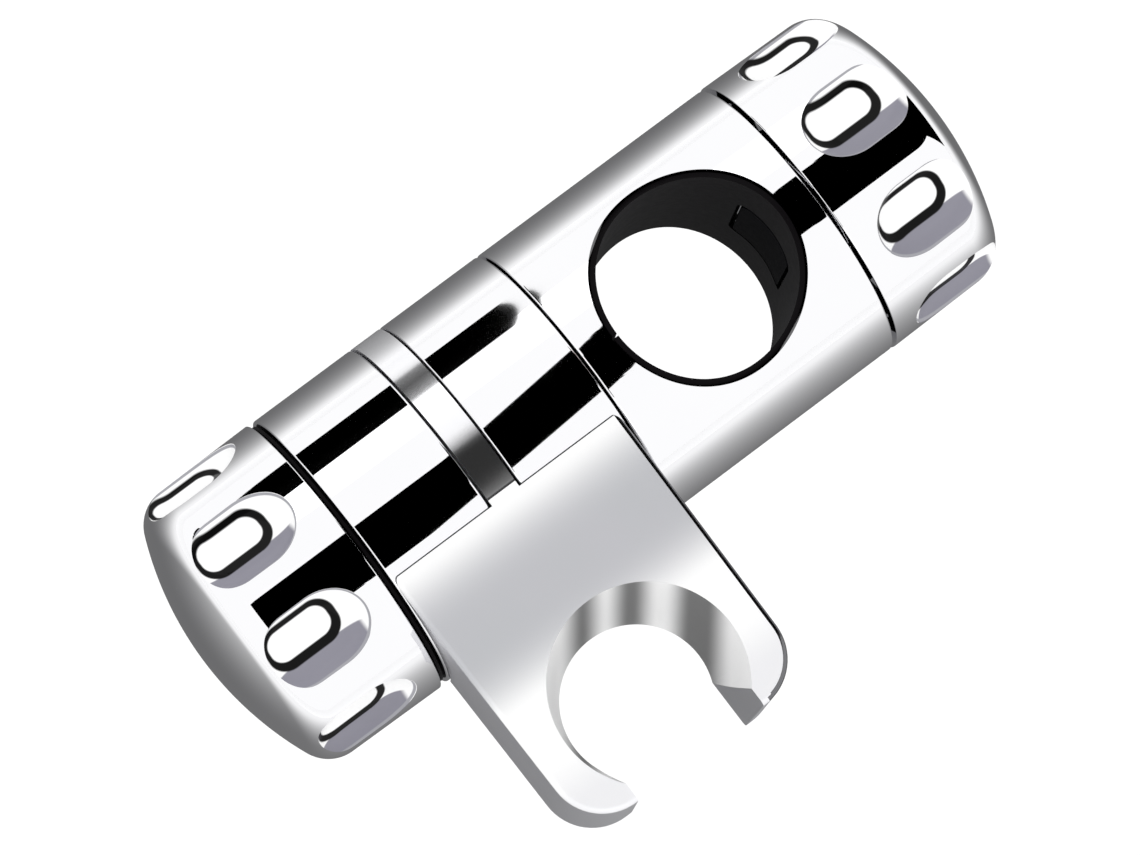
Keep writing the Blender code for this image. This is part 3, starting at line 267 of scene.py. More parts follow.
    @staticmethod
    def ring_of(piece: Piece, count: int, first: float) -> Piece:
        """Copy a piece evenly about the barrel's axis and join the copies.

        Args:
            piece: The piece as it stands at the top, over the axis.
            count: How many of it there are.
            first: The angle of the first one, from +Z towards -Y.

        Returns:
            The joined copies.
        """
        copies = []
        for index in range(count):
            copy = piece.copy()
            copy.data = piece.data.copy()
            copy.matrix_world = Matrix.Rotation(first + index * FULL_TURN / count, 4, "X")
            bpy.context.scene.collection.objects.link(copy)
            copies.append(copy)
        name = piece.name
        bpy.data.objects.remove(piece, do_unlink=True)
        Bench.pick(*copies)
        bpy.ops.object.join()
        return Bench.settle(bpy.context.object, f"{name}_ring")

    @staticmethod
    def plates(
        name: str, count: int, first: float, span: Span, thickness: float, stations: Span
    ) -> Piece:
        """Return thin radial plates, spread evenly about the barrel's axis.

        Args:
            name: The plates' name.
            count: How many there are.
            first: The angle of the first one, from +Z towards -Y.
            span: The radii between which they reach.
            thickness: Their thickness.
            stations: Where they start and end along the axis.

        Returns:
            The plates as one piece.
        """
        low = (min(stations), -thickness / 2, span[0])
        high = (max(stations), thickness / 2, span[1])
        return Bench.ring_of(Bench.block(name, low, high), count, first)

    @staticmethod
    def shade(piece: Piece) -> Piece:
        """Shade a piece smooth up to its sharp edges, by the size of its faces.

        Args:
            piece: The piece.

        Returns:
            The same piece.
        """
        with Bench.editing(piece):
            bpy.ops.mesh.select_all(action="SELECT")
            bpy.ops.mesh.remove_doubles(threshold=NEAR)
        Bench.pick(piece)
        bpy.ops.object.shade_smooth_by_angle(angle=SMOOTH_ANGLE)
        modifier = piece.modifiers.new("weighted", "WEIGHTED_NORMAL")
        modifier.keep_sharp = True
        bpy.ops.object.modifier_apply(modifier=modifier.name)
        return piece


def math_method(operation: str) -> Callable[..., "Socket"]:
    """Return a method that puts a value, and another where it takes one, through a Math node."""
    return lambda value, other=0.0: value.combined(operation, value, other)


class Socket:
    """A shader value that is added, multiplied and compared like a number."""

    __add__ = __radd__ = math_method("ADD")
    __sub__ = math_method("SUBTRACT")
    __mul__ = __rmul__ = math_method("MULTIPLY")
    __truediv__ = math_method("DIVIDE")
    __pow__ = math_method("POWER")
    __abs__ = math_method("ABSOLUTE")
    sine = math_method("SINE")
    at_least = math_method("MAXIMUM")
    angle_from = math_method("ARCTAN2")
    modulo = math_method("FLOORED_MODULO")

    def __init__(self, graph: "Graph", socket: bpy.types.NodeSocket) -> None:
        """Hold a node's output within its graph."""
        self.graph = graph
        self.socket = socket

    def combined(self, operation: str, first: "Socket | float", second: "Socket | float") -> "Socket":
        """Return the result of one Math node."""
        node = self.graph.node("ShaderNodeMath", {"operation": operation}, {0: first, 1: second})
        return Socket(self.graph, node.outputs[0])

    def __rsub__(self, other: float) -> "Socket":
        """Return the difference with this value taken away."""
        return self.combined("SUBTRACT", other, self)

    def wrapped(self, period: float) -> "Socket":
        """Return this value folded to within half a period of zero."""
        return (self + period / 2).modulo(period) - period / 2

    def step(self, low: float, high: float) -> "Socket":
        """Return 0 below low, 1 above high and a smooth rise between them."""
        settings = {"interpolation_type": "SMOOTHSTEP"}
        inputs = {"Value": self, "From Min": low, "From Max": high}
        node = self.graph.node("ShaderNodeMapRange", settings, inputs)
        return Socket(self.graph, node.outputs["Result"])


class Graph:
    """A node tree that is filled with named settings and links."""

    def __init__(self, tree: bpy.types.NodeTree) -> None:
        """Empty the tree."""
        self.tree = tree
        tree.nodes.clear()

    def node(self, kind: str, settings: dict | None = None, inputs: dict | None = None) -> bpy.types.Node:
        """Add a node, with its settings first and its inputs after them.

        Args:
            kind: The node's type.
            settings: Its settings by name.
            inputs: Values or sockets by input name or number.

        Returns:
            The node.
        """
        node = self.tree.nodes.new(kind)
        for name, value in (settings or {}).items():
            setattr(node, name, value)
        for name, value in (inputs or {}).items():
            if isinstance(value, Socket):
                self.tree.links.new(value.socket, node.inputs[name])
            else:
                node.inputs[name].default_value = value
        return node

    def place(self) -> Socket:
        """Return the point's place on its object."""
        return Socket(self, self.node("ShaderNodeTexCoord").outputs["Object"])

    def axes(self) -> tuple[Socket, Socket, Socket]:
        """Return the point's X, Y and Z."""
        node = self.node("ShaderNodeSeparateXYZ", {}, {0: self.place()})
        return tuple(Socket(self, output) for output in node.outputs)

    def noise(self, scale: float, detail: float = 2.0) -> Socket:
        """Return a soft noise between 0 and 1, about 0.5."""
        inputs = {"Vector": self.place(), "Scale": scale, "Detail": detail}
        return Socket(self, self.node("ShaderNodeTexNoise", {}, inputs).outputs["Fac"])

    def mix(self, factor: Socket, first: "Socket | Colour", second: "Socket | Colour") -> Socket:
        """Return the blend of two colours."""
        node = self.node("ShaderNodeMix", {"data_type": "RGBA"}, {"Factor": factor})
        for index, colour in ((6, first), (7, second)):
            if isinstance(colour, Socket):
                self.tree.links.new(colour.socket, node.inputs[index])
            else:
                node.inputs[index].default_value = (*colour, 1.0)
        return Socket(self, node.outputs[2])

    def bump(self, height: Socket, distance: float) -> Socket:
        """Return the surface direction that a height gives."""
        inputs = {"Height": height, "Distance": distance, "Strength": 1.0}
        return Socket(self, self.node("ShaderNodeBump", {}, inputs).outputs["Normal"])


def new_material(name: str, kind: str, fill: Callable[[Graph], dict]) -> bpy.types.Material:
    """Return a new material of one shader node.

    Args:
        name: The material's name.
        kind: The shader node's type.
        fill: What returns the node's inputs, once it has made the nodes that feed them.

    Returns:
        The material.
    """
    material = bpy.data.materials.new(name)
    material.use_nodes = True
    graph = Graph(material.node_tree)
    surface = graph.node(kind, {}, fill(graph))
    graph.node("ShaderNodeOutputMaterial", {}, {"Surface": Socket(graph, surface.outputs[0])})
    return material


@dataclass(frozen=True, kw_only=True)
class Finish:
    """A surface, with what it does to light and how it varies."""

    name: str
    slot: str
    colour: Colour
    tint: Colour
    roughness: float
    roughness_spread: float
    metallic: float = 0.0
    tint_scale: float = 60.0
    grain_scale: float = 900.0
    grain_depth: float = 0.0000001
    specular: float = 0.5

    def shade_colour(self, graph: Graph) -> Socket:
        """Return the colour over the surface."""
        return graph.mix(graph.noise(self.tint_scale), self.colour, self.tint)

    def shade_height(self, graph: Graph) -> Socket:
        """Return the height of the surface's grain."""
        return graph.noise(self.grain_scale, GRAIN_DETAIL)

    def shade(self, graph: Graph) -> dict:
        """Return the inputs of the finish's shader node."""
        spread = graph.noise(self.grain_scale / SPREAD_WIDTH)
        return {
            "Base Color": self.shade_colour(graph),
            "Metallic": self.metallic,
            "Specular IOR Level": self.specular,
            "Roughness": spread * self.roughness_spread + (self.roughness - self.roughness_spread / 2),
            "Normal": graph.bump(self.shade_height(graph), self.grain_depth),
        }

    def material(self) -> bpy.types.Material:
        """Return the finish's material, made once."""
        material = bpy.data.materials.get(self.name)
        if material is None:
            material = new_material(self.name, "ShaderNodeBsdfPrincipled", self.shade)
            material.diffuse_color = (*self.colour, 1.0)
        return material

    def dress(self, piece: Piece) -> Piece:
        """Give a piece this finish all over."""
        piece.data.materials.clear()
        piece.data.materials.append(self.material())
        return piece


@dataclass(frozen=True, kw_only=True)
class TurnedMetal(Finish):
    """A metal that still shows the fine rings of the lathe."""

    metallic: float = 1.0
    tint_scale: float = 150.0
    grain_scale: float = 3000.0
    grain_depth: float = 0.000004
    roughness_spread: float = 0.10
    ring_pitch: float = 0.00012
    ring_share: float = 0.3

    def shade_height(self, graph: Graph) -> Socket:
        """Return the height of the lathe's rings about the barrel's axis, with the grain."""
        _, across, up = graph.axes()
        radius = (across * across + up * up) ** 0.5
        rings = (radius * (FULL_TURN / self.ring_pitch)).sine()
        return rings * self.ring_share + super().shade_height(graph)


@dataclass(frozen=True, kw_only=True)
class SatinMetal(Finish):
    """A satin metal with a very fine grain."""

    slot: str = "satin_chrome"
    metallic: float = 1.0
    tint_scale: float = 90.0
    grain_scale: float = 9000.0
    grain_depth: float = 0.000001
    roughness_spread: float = 0.02


@dataclass(frozen=True, kw_only=True)
class SatinFacePaintedShade(SatinMetal):
    """The arm's satin face: white, with a darker band of painted shade beside the barrel, and a little darker
    towards its tips.
    """

    # Where the painted shade lies along the arm, the tips' span, and the colours of the shade and the tips.
    middle: float = -0.0192
    reach: float = 0.0112
    tips: Span = (-0.0440, -0.0370)
    other: Colour = (0.535, 0.525, 0.56)
    tip_colour: Colour = (0.86, 0.86, 0.88)

    def shade_colour(self, graph: Graph) -> Socket:
        """Return the colour, darkened by painted shade beside the barrel, and a little darker at the tips."""
        _, along, _ = graph.axes()
        distance = (along - self.middle) / self.reach
        # Painted shade: darkest along the barrel, fading out at the reach.
        painted_shade_band = (distance * distance).step(0.0, 1.0)
        soft = graph.mix(graph.noise(self.tint_scale), self.tint, self.other)
        outer = graph.mix(along.step(*self.tips), self.tip_colour, self.colour)
        return graph.mix(painted_shade_band, soft, outer)


@dataclass(frozen=True, kw_only=True)
class RingPaintedReflections(SatinMetal):
    """The ring's satin rim, with the sleeve's dark reflection bands painted into its colour, smeared along
    it.
    """

    # Each band of painted reflection: its middle, its half width and how far it dims the colour.
    bands: tuple[Point, ...] = ((0.0107, 0.0010, 0.22), (-0.0034, 0.0043, 0.04))
    softness: float = 0.0034
    floor: float = 0.05
    dark: Colour = (0.10, 0.10, 0.10)

    def shade_colour(self, graph: Graph) -> Socket:
        """Return the colour, dimmed by painted reflection across each band and a little darker towards the
        bottom.
        """
        _, along, up = graph.axes()
        light = up.step(self.floor - 1.0, self.floor)
        for middle, half, dim in self.bands:
            outside = abs(along - middle).step(half - self.softness / 2, half + self.softness / 2)
            light = light * (outside * (1.0 - dim) + dim)
        return graph.mix(light, self.dark, self.colour)


@dataclass(frozen=True)
class Patch:
    """A rounded patch in a scoop, by its middle, its half sizes and its corner radius."""

    along: float
    across: float
    half_along: float
    half_across: float
    corner: float

    def inside(self, along: Socket, across: Socket, softness: float) -> Socket:
        """Return 1 within the patch and 0 outside it, with a soft edge."""
        beyond_x = (abs(along - self.along) - (self.half_along - self.corner)).at_least(0.0)
        beyond_y = (abs(across - self.across) - (self.half_across - self.corner)).at_least(0.0)
        distance = (beyond_x * beyond_x + beyond_y * beyond_y) ** 0.5
        return 1.0 - distance.step(self.corner - softness, self.corner + softness)


@dataclass(frozen=True, kw_only=True)
class ScoopPaintedReflections(Finish):
    """A scoop's polished bowl, with the studio's reflections painted into its colour: one bright patch with a
    dark rim and a grey side.
    """

    middle: float = 0.0
    phase: float = 0.0
    count: int = 8
    radius: float = 0.0196
    # Painted reflections: the bright patch, the dark patch around it, the grey side and the rim line.
    light: Patch = Patch(-0.0018, -0.0014, 0.0044, 0.0022, 0.0019)
    dark: Patch = Patch(-0.0016, -0.0011, 0.0053, 0.0033, 0.0028)
    side_start: float = 0.0017
    side_end: float = 0.0054
    side_colour: Colour = (0.27, 0.265, 0.31)
    rim_radius: float = 0.0204
    rim_line: Span = (0.00006, 0.00030)
    rim_colour: Colour = (0.38, 0.38, 0.41)
    softness: float = 0.00012

    def shade_colour(self, graph: Graph) -> Socket:
        """Return the colour, all painted reflection: grey side, dark rim line, dark patch and bright patch in
        every scoop.
        """
        x, y, z = graph.axes()
        along = x - self.middle
        turn = (-1.0 * y).angle_from(z) - self.phase
        across = turn.wrapped(FULL_TURN / self.count) * self.radius
        soft = self.softness
        side = across.step(self.side_start - soft, self.side_start + soft)
        side = side * (1.0 - along.step(self.side_end - 3 * soft, self.side_end + 3 * soft))
        depth = self.rim_radius - (y * y + z * z) ** 0.5
        start, end = self.rim_line
        line = depth.step(start - soft / 2, start) * (1.0 - depth.step(end, end + soft))
        colour = graph.mix(side, self.colour, self.side_colour)
        colour = graph.mix(line, colour, self.rim_colour)
        colour = graph.mix(self.dark.inside(along, across, soft), colour, self.tint)
        return graph.mix(self.light.inside(along, across, soft), colour, self.colour)


@dataclass(frozen=True, kw_only=True)
class CradleWallPaintedBands(Finish):
    """The cradle's wall, white with upright bands of painted reflection laid across the camera's view."""

    centre: float = 0.0
    across_x: float = 0.8
    across_y: float = -0.6
    across_z: float = 0.064
    painted_reflection_bands: tuple[Span, ...] = ((-0.0069, 0.0010), (-0.0008, 0.0013), (0.0076, 0.0021))
    softness: float = 0.0022

    def shade_colour(self, graph: Graph) -> Socket:
        """Return the colour, dark inside each band of painted reflection."""
        x, y, z = graph.axes()
        run = x * self.across_x + y * self.across_y + z * self.across_z - self.centre
        light = 1.0
        for middle, half in self.painted_reflection_bands:
            light = light * abs(run - middle).step(half - self.softness / 2, half + self.softness)
        return graph.mix(light, self.tint, self.colour)


CHROME = Finish(
    name="polished_chrome", slot="chrome", colour=(0.93, 0.93, 0.94), tint=(0.91, 0.91, 0.93),
    roughness=0.022, roughness_spread=0.006, metallic=1.0,
)
SATIN = SatinMetal(
    name="satin_chrome", colour=(0.82, 0.83, 0.85), tint=(0.78, 0.79, 0.81), roughness=0.24,
    roughness_spread=0.04, metallic=0.75, grain_depth=0.000002,
)
# The arm's right-hand rounded edge: dark grey, a painted dark reflection.
EDGE = SatinMetal(
    name="edge_painted_reflection", colour=(0.20, 0.20, 0.21), tint=(0.16, 0.16, 0.17), roughness=0.16
)
# The ring: the sleeve's dark bands painted into its colour as reflections.
RING = RingPaintedReflections(
    name="ring_painted_reflections", colour=(0.92, 0.92, 0.94), tint=(0.88, 0.88, 0.91), roughness=0.12, metallic=0.80
)
# The arm's top face: white, with painted shade in the tint as a band beside the barrel.
PAINTED_SHADE_FACE = SatinFacePaintedShade(
    name="satin_face_painted_shade", colour=(1.0, 1.0, 1.0), tint=(0.485, 0.505, 0.52), roughness=0.42,
    roughness_spread=0.06, metallic=0.15, tint_scale=55.0, grain_depth=0.000002,
)
BLACK = Finish(
    name="black_acetal", slot="liner", colour=(0.0035, 0.003, 0.0035), tint=(0.006, 0.005, 0.006),
    roughness=0.38, roughness_spread=0.10, tint_scale=70.0, grain_scale=4000.0, grain_depth=0.000010,
    specular=0.03,
)
RUBBER = Finish(
    name="black_rubber", slot="rubber", colour=(0.003, 0.003, 0.005), tint=(0.005, 0.005, 0.007),
    roughness=0.62, roughness_spread=0.12, tint_scale=120.0, grain_scale=2500.0, grain_depth=0.000020,
    specular=0.05,
)
STEEL = TurnedMetal(
    name="turned_steel", slot="steel", colour=(0.56, 0.56, 0.58), tint=(0.50, 0.50, 0.52), roughness=0.27
)
BRASS = TurnedMetal(
    name="turned_brass", slot="brass", colour=(0.72, 0.52, 0.22), tint=(0.66, 0.46, 0.19), roughness=0.25
)
NYLON = Finish(
    name="white_nylon", slot="nylon", colour=(0.72, 0.71, 0.68), tint=(0.68, 0.67, 0.63), roughness=0.45,
    roughness_spread=0.10, tint_scale=200.0, grain_scale=3500.0, grain_depth=0.000008,
)


def install(piece: Piece, body: str, finish: Finish, *nodes: str) -> Piece:
    """Set a finished piece on its body in place of the nodes that it stands for.

    Args:
        piece: The finished piece.
        body: The body that it rides on.
        finish: The piece's finish; not used.
        nodes: The nodes that it replaces.

    Returns:
        The same piece.
    """
    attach(piece, body)
    if nodes:
        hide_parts(*nodes)
    log.info("%s: %d faces on %s", piece.name, len(piece.data.polygons), body)
    return piece


def install_fixed(piece: Piece, finish: Finish, node: str) -> Piece:
    """Shade a piece of the slider's body, dress it in one finish and set it in its node's place."""
    return install(finish.dress(Bench.shade(piece)), "slider_body", finish, node)


@dataclass
class RailBody:
    """The chrome body on the rail, with its neck, its bore and the bore's liner."""

    steps: int = 288
    bore_steps: int = 192
    bolt_steps: int = 48
    lug_steps: int = 32
    pocket_steps: int = 6
    barrel_radius: float = 0.0204
    barrel_inner: float = 0.0182
    left_end: float = -0.0181
    right_end: float = 0.0175
    end_recess: float = 0.0025
    edge_round: float = 0.0003
    bore_radius: float = 0.01275
    liner_wall: float = 0.0007
    liner_slit: float = 0.0003
    liner_setback: float = 0.0005
    liner_lug: float = 0.0012
    liner_lug_reach: float = 0.0013
    neck_radius: float = 0.0085
    neck_bore: float = 0.0059
    stud_bore: float = 0.0043
    boss_radius: float = 0.01185
    boss_end: float = 0.01865
    insert_floor: float = 0.01915
    groove_station: float = 0.0246
    groove_half: float = 0.0012
    groove_depth: float = 0.0015
    pivot_boss: float = 0.0085
    pocket_half_width: float = 0.0053
    pocket_half_height: float = 0.0083
    pocket_corner: float = 0.0018
    pocket_end: float = 0.01715
    shoe_back: float = 0.01625
    bolt_head: float = 0.0055
    bolt_seat: float = -0.01595
    bolt_hole: float = 0.0033
    dog_inner: float = 0.0042
    dog_outer: float = 0.0073
    dog_half: float = 0.0014
    dog_reach: float = 0.0012

    def pocket(self, name: str, end: float) -> Piece:
        """Return the tool for the rounded pocket that the clamp shoe slides in."""
        low = (0.0, -self.pocket_half_width, -self.pocket_half_height)
        tool = Bench.block(name, low, (end, self.pocket_half_width, self.pocket_half_height))
        with Bench.editing(tool):
            Bench.mark_edges(tool, lambda a, b: abs(a.x - b.x) > NEAR)
            bpy.ops.mesh.bevel(offset=self.pocket_corner, segments=self.pocket_steps, affect="EDGES")
        return tool

    def casting(self) -> Piece:
        """Turn the body and its neck, then cut the rail bore and the pockets."""
        neck_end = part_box("body_shell")[1].x
        recess_right = self.right_end - self.end_recess
        recess_left = self.left_end + self.end_recess
        groove_low = self.groove_station - self.groove_half
        groove_high = self.groove_station + self.groove_half
        groove_floor = self.neck_radius - self.groove_depth
        core = self.bore_radius - self.liner_wall
        edge = self.edge_round
        corners = profile(
            (core, 0.0), (core, self.stud_bore),
            (self.insert_floor, self.stud_bore), (self.insert_floor, self.neck_bore),
            (neck_end, self.neck_bore), (neck_end, self.neck_radius, edge),
            (groove_high, self.neck_radius), (groove_high, groove_floor),
            (groove_low, groove_floor), (groove_low, self.neck_radius),
            (self.boss_end, self.neck_radius), (self.boss_end, self.boss_radius, edge),
            (recess_right, self.boss_radius), (recess_right, self.barrel_inner),
            (self.right_end, self.barrel_inner), (self.right_end, self.barrel_radius, edge),
            (self.left_end, self.barrel_radius, edge), (self.left_end, self.barrel_inner),
            (recess_left, self.barrel_inner), (recess_left, self.pivot_boss),
            (self.left_end, self.pivot_boss), (self.left_end, 0.0),
        )
        body = Bench.turned("body_casting", corners, self.steps, closed=False)
        reach = self.barrel_radius + SPARE
        bore = self.bore_radius + self.liner_wall + GAP
        hole = self.bolt_hole
        low = (self.left_end - SPARE, -hole, -hole)
        Bench.combine(
            body,
            Bench.rod("bore", bore, -reach, reach, self.bore_steps, Axis.RAIL),
            self.pocket("shoe_pocket", self.pocket_end),
            Bench.rod("bolt_head", self.bolt_head, self.bolt_seat, 0.0, self.bolt_steps),
            Bench.block("bolt_neck", low, (self.bolt_seat + SPARE, hole, hole)),
        )
        for side in (-1, 1):
            span = sorted((side * self.dog_inner, side * self.dog_outer))
            low = (self.left_end - SPARE, span[0], -self.dog_half)
            high = (self.left_end + self.dog_reach, span[1], self.dog_half)
            slot = Bench.block("dog_slot", low, high)
            low, high = sorted((0.0, side * (bore + self.liner_lug_reach)))
            socket = Bench.rod("lug_socket", self.liner_lug + GAP, low, high, self.lug_steps, Axis.ACROSS)
            Bench.combine(body, slot, socket)
        return install_fixed(body, CHROME, "body_shell")

    def liner(self) -> Piece:
        """Turn the split bush, trim its ends to the barrel and open its slit and window."""
        outer = self.bore_radius + self.liner_wall
        height = self.barrel_radius
        corners = profile(
            (height, outer), (-height, outer),
            (-height, self.bore_radius), (height, self.bore_radius),
        )
        liner = Bench.turned("bore_liner", corners, self.bore_steps, Axis.RAIL)
        for side in (-1, 1):
            root = side * (self.bore_radius + self.liner_wall / 2)
            tip = side * (outer + self.liner_lug_reach)
            low, high = sorted((root, tip))
            lug = Bench.rod("lug", self.liner_lug, low, high, self.lug_steps, Axis.ACROSS)
            Bench.combine(liner, lug, join=Join.ADD)
        saddle = self.barrel_radius - self.liner_setback
        tool = Bench.rod("saddle", saddle, self.left_end, self.right_end, self.steps)
        Bench.combine(liner, tool, join=Join.KEEP)
        half = self.liner_slit / 2
        slit = Bench.block("slit", (-outer - half, -half, -height), (-half, half, height))
        Bench.combine(liner, slit, self.pocket("window", self.shoe_back))
        return install_fixed(liner, BLACK, "rail_liner")


@dataclass
class ClampKnob:
    """A chrome clamp knob with a domed end, eight finger scoops and a ribbed inside."""

    name: str
    body: str
    node: str
    rim: float
    facing: int
    phase: float
    hub: Sequence[Corner]
    pocket_radius: float
    pocket: Span
    steps: int = 288
    length: float = 0.0218
    radius: float = 0.0205
    shoulder: float = 0.0203
    edge_radius: float = 0.0050
    dome_radius: float = 0.0440
    side_wall: float = 0.0033
    dome_wall: float = 0.0024
    rim_round: float = 0.00015
    rib: float = 0.0014
    rib_start: float = 0.0045
    scoops: int = 8
    scoop_floor: float = 0.0038
    scoop_depth: float = 0.0022
    scoop_start: float = 0.0026
    scoop_end: float = 0.0193
    scoop_round: float = 0.0043
    scoop_oval: float = 1.06
    hollow_shift: float = -0.0003
    dome_steps: int = 30
    edge_steps: int = 20
    scoop_steps: int = 128
    scoop_round_steps: int = 20

    @property
    def scoop_middle(self) -> float:
        """Return the station of the scoops' middle."""
        return self.station((self.scoop_start + self.scoop_end) / 2)

    def station(self, distance: float) -> float:
        """Return the station of a distance from the rim towards the apex."""
        return self.rim + self.facing * distance

    def outside(self) -> list[Corner]:
        """Return the profile from the apex over the dome and its edge to the rim."""
        edge_centre = self.shoulder - self.edge_radius
        dome_centre = self.length - self.dome_radius
        rise = math.sqrt((self.dome_radius - self.edge_radius) ** 2 - edge_centre**2)
        tangent = math.atan2(rise, edge_centre)
        corners = [Corner(self.station(self.length), 0.0)]
        for index in range(1, self.dome_steps + 1):
            angle = math.pi / 2 + (tangent - math.pi / 2) * index / self.dome_steps
            distance = dome_centre + self.dome_radius * math.sin(angle)
            corners.append(Corner(self.station(distance), self.dome_radius * math.cos(angle)))
        for index in range(1, self.edge_steps + 1):
            angle = tangent * (1 - index / self.edge_steps)
            distance = dome_centre + rise + self.edge_radius * math.sin(angle)
            corners.append(Corner(self.station(distance), edge_centre + self.edge_radius * math.cos(angle)))
        corners.append(Corner(self.station(0.0), self.radius, self.rim_round))
        return corners

    def inside(self) -> list[Corner]:
        """Return the cavity's profile from the rim up its wall and in to the hub."""
        inner = self.radius - self.side_wall
        dome_radius = self.dome_radius - self.dome_wall
        dome_centre = self.length - self.dome_radius
        corner = inner - self.edge_radius / 2
        corner_distance = dome_centre + math.sqrt(dome_radius**2 - corner**2)
        hub_radius = self.hub[0].radius
        hub_distance = dome_centre + math.sqrt(dome_radius**2 - hub_radius**2)
        return [
            Corner(self.station(0.0), inner),
            Corner(self.station(corner_distance - self.edge_radius / 2), inner),
            Corner(self.station(corner_distance), corner),
            Corner(self.station(hub_distance), hub_radius),
        ]

    def scoop(self) -> Piece:
        """Return the tool for one finger scoop, as it stands at the knob's top."""
        floor = self.radius - self.scoop_depth
        top = self.radius + self.scoop_round
        middle = self.scoop_middle
        radius = self.scoop_floor / 2 + self.scoop_round
        stretch = (self.scoop_end - self.scoop_start) / 2 - radius * self.scoop_oval
        place = (middle, 0.0, 0.0)
        slug = Bench.rod(f"{self.name}_scoop", radius, floor, top, self.scoop_steps, Axis.RAIL, place)
        with Bench.editing(slug):
            bpy.ops.mesh.select_all(action="SELECT")
            bpy.ops.transform.resize(value=(self.scoop_oval, 1.0, 1.0), center_override=place)
            for side in (-1, 1):
                Bench.mark_points(slug, lambda co: side * (co.x - middle) > NEAR)
                bpy.ops.transform.translate(value=(side * stretch, 0.0, 0.0))
            Bench.mark_edges(slug, lambda a, b: max(a.z, b.z) < floor + NEAR)
            bpy.ops.mesh.bevel(offset=self.scoop_round, segments=self.scoop_round_steps, affect="EDGES")
        return slug

    def scoop_painted_reflections(self) -> ScoopPaintedReflections:
        """Return the finish of this knob's scoops, with their painted reflections."""
        # The scoops' colour is painted reflection: white, with black, grey and rim marks.
        return ScoopPaintedReflections(
            name=f"{self.name}_hollow", slot="chrome", colour=(1.0, 1.0, 1.0), tint=(0.004, 0.004, 0.004),
            roughness=0.12, roughness_spread=0.01, specular=0.08,
            middle=self.scoop_middle + self.hollow_shift, phase=self.phase,
        )

    def build(self) -> Piece:
        """Turn the knob, press its scoops, add its ribs and sink its pocket."""
        hub = [Corner(self.station(corner.station), corner.radius, corner.round) for corner in self.hub]
        knob = Bench.turned(self.name, self.outside() + self.inside() + hub, self.steps, closed=False)
        scoops = Bench.ring_of(self.scoop(), self.scoops, self.phase)
        for piece in (knob, scoops):
            piece.data.materials.append(CHROME.material())
            piece.data.materials.append(self.scoop_painted_reflections().material())
        # The scoops' faces take the finish with painted reflections.
        scoops.data.polygons.foreach_set("material_index", [1] * len(scoops.data.polygons))
        Bench.combine(knob, scoops)
        inner = self.radius - self.side_wall
        rib_end = self.inside()[1].station + self.facing * GAP
        ribs = Bench.plates(
            "rib", self.scoops, self.phase + math.pi / self.scoops,
            (self.hub[0].radius - GAP, inner + GAP), self.rib, (self.station(self.rib_start), rib_end),
        )
        Bench.combine(knob, ribs, join=Join.ADD)
        low, high = sorted(self.station(distance) for distance in self.pocket)
        Bench.combine(knob, Bench.rod("hex_pocket", self.pocket_radius, low, high, HEX_SIDES))
        return install(Bench.shade(knob), self.body, CHROME, self.node)


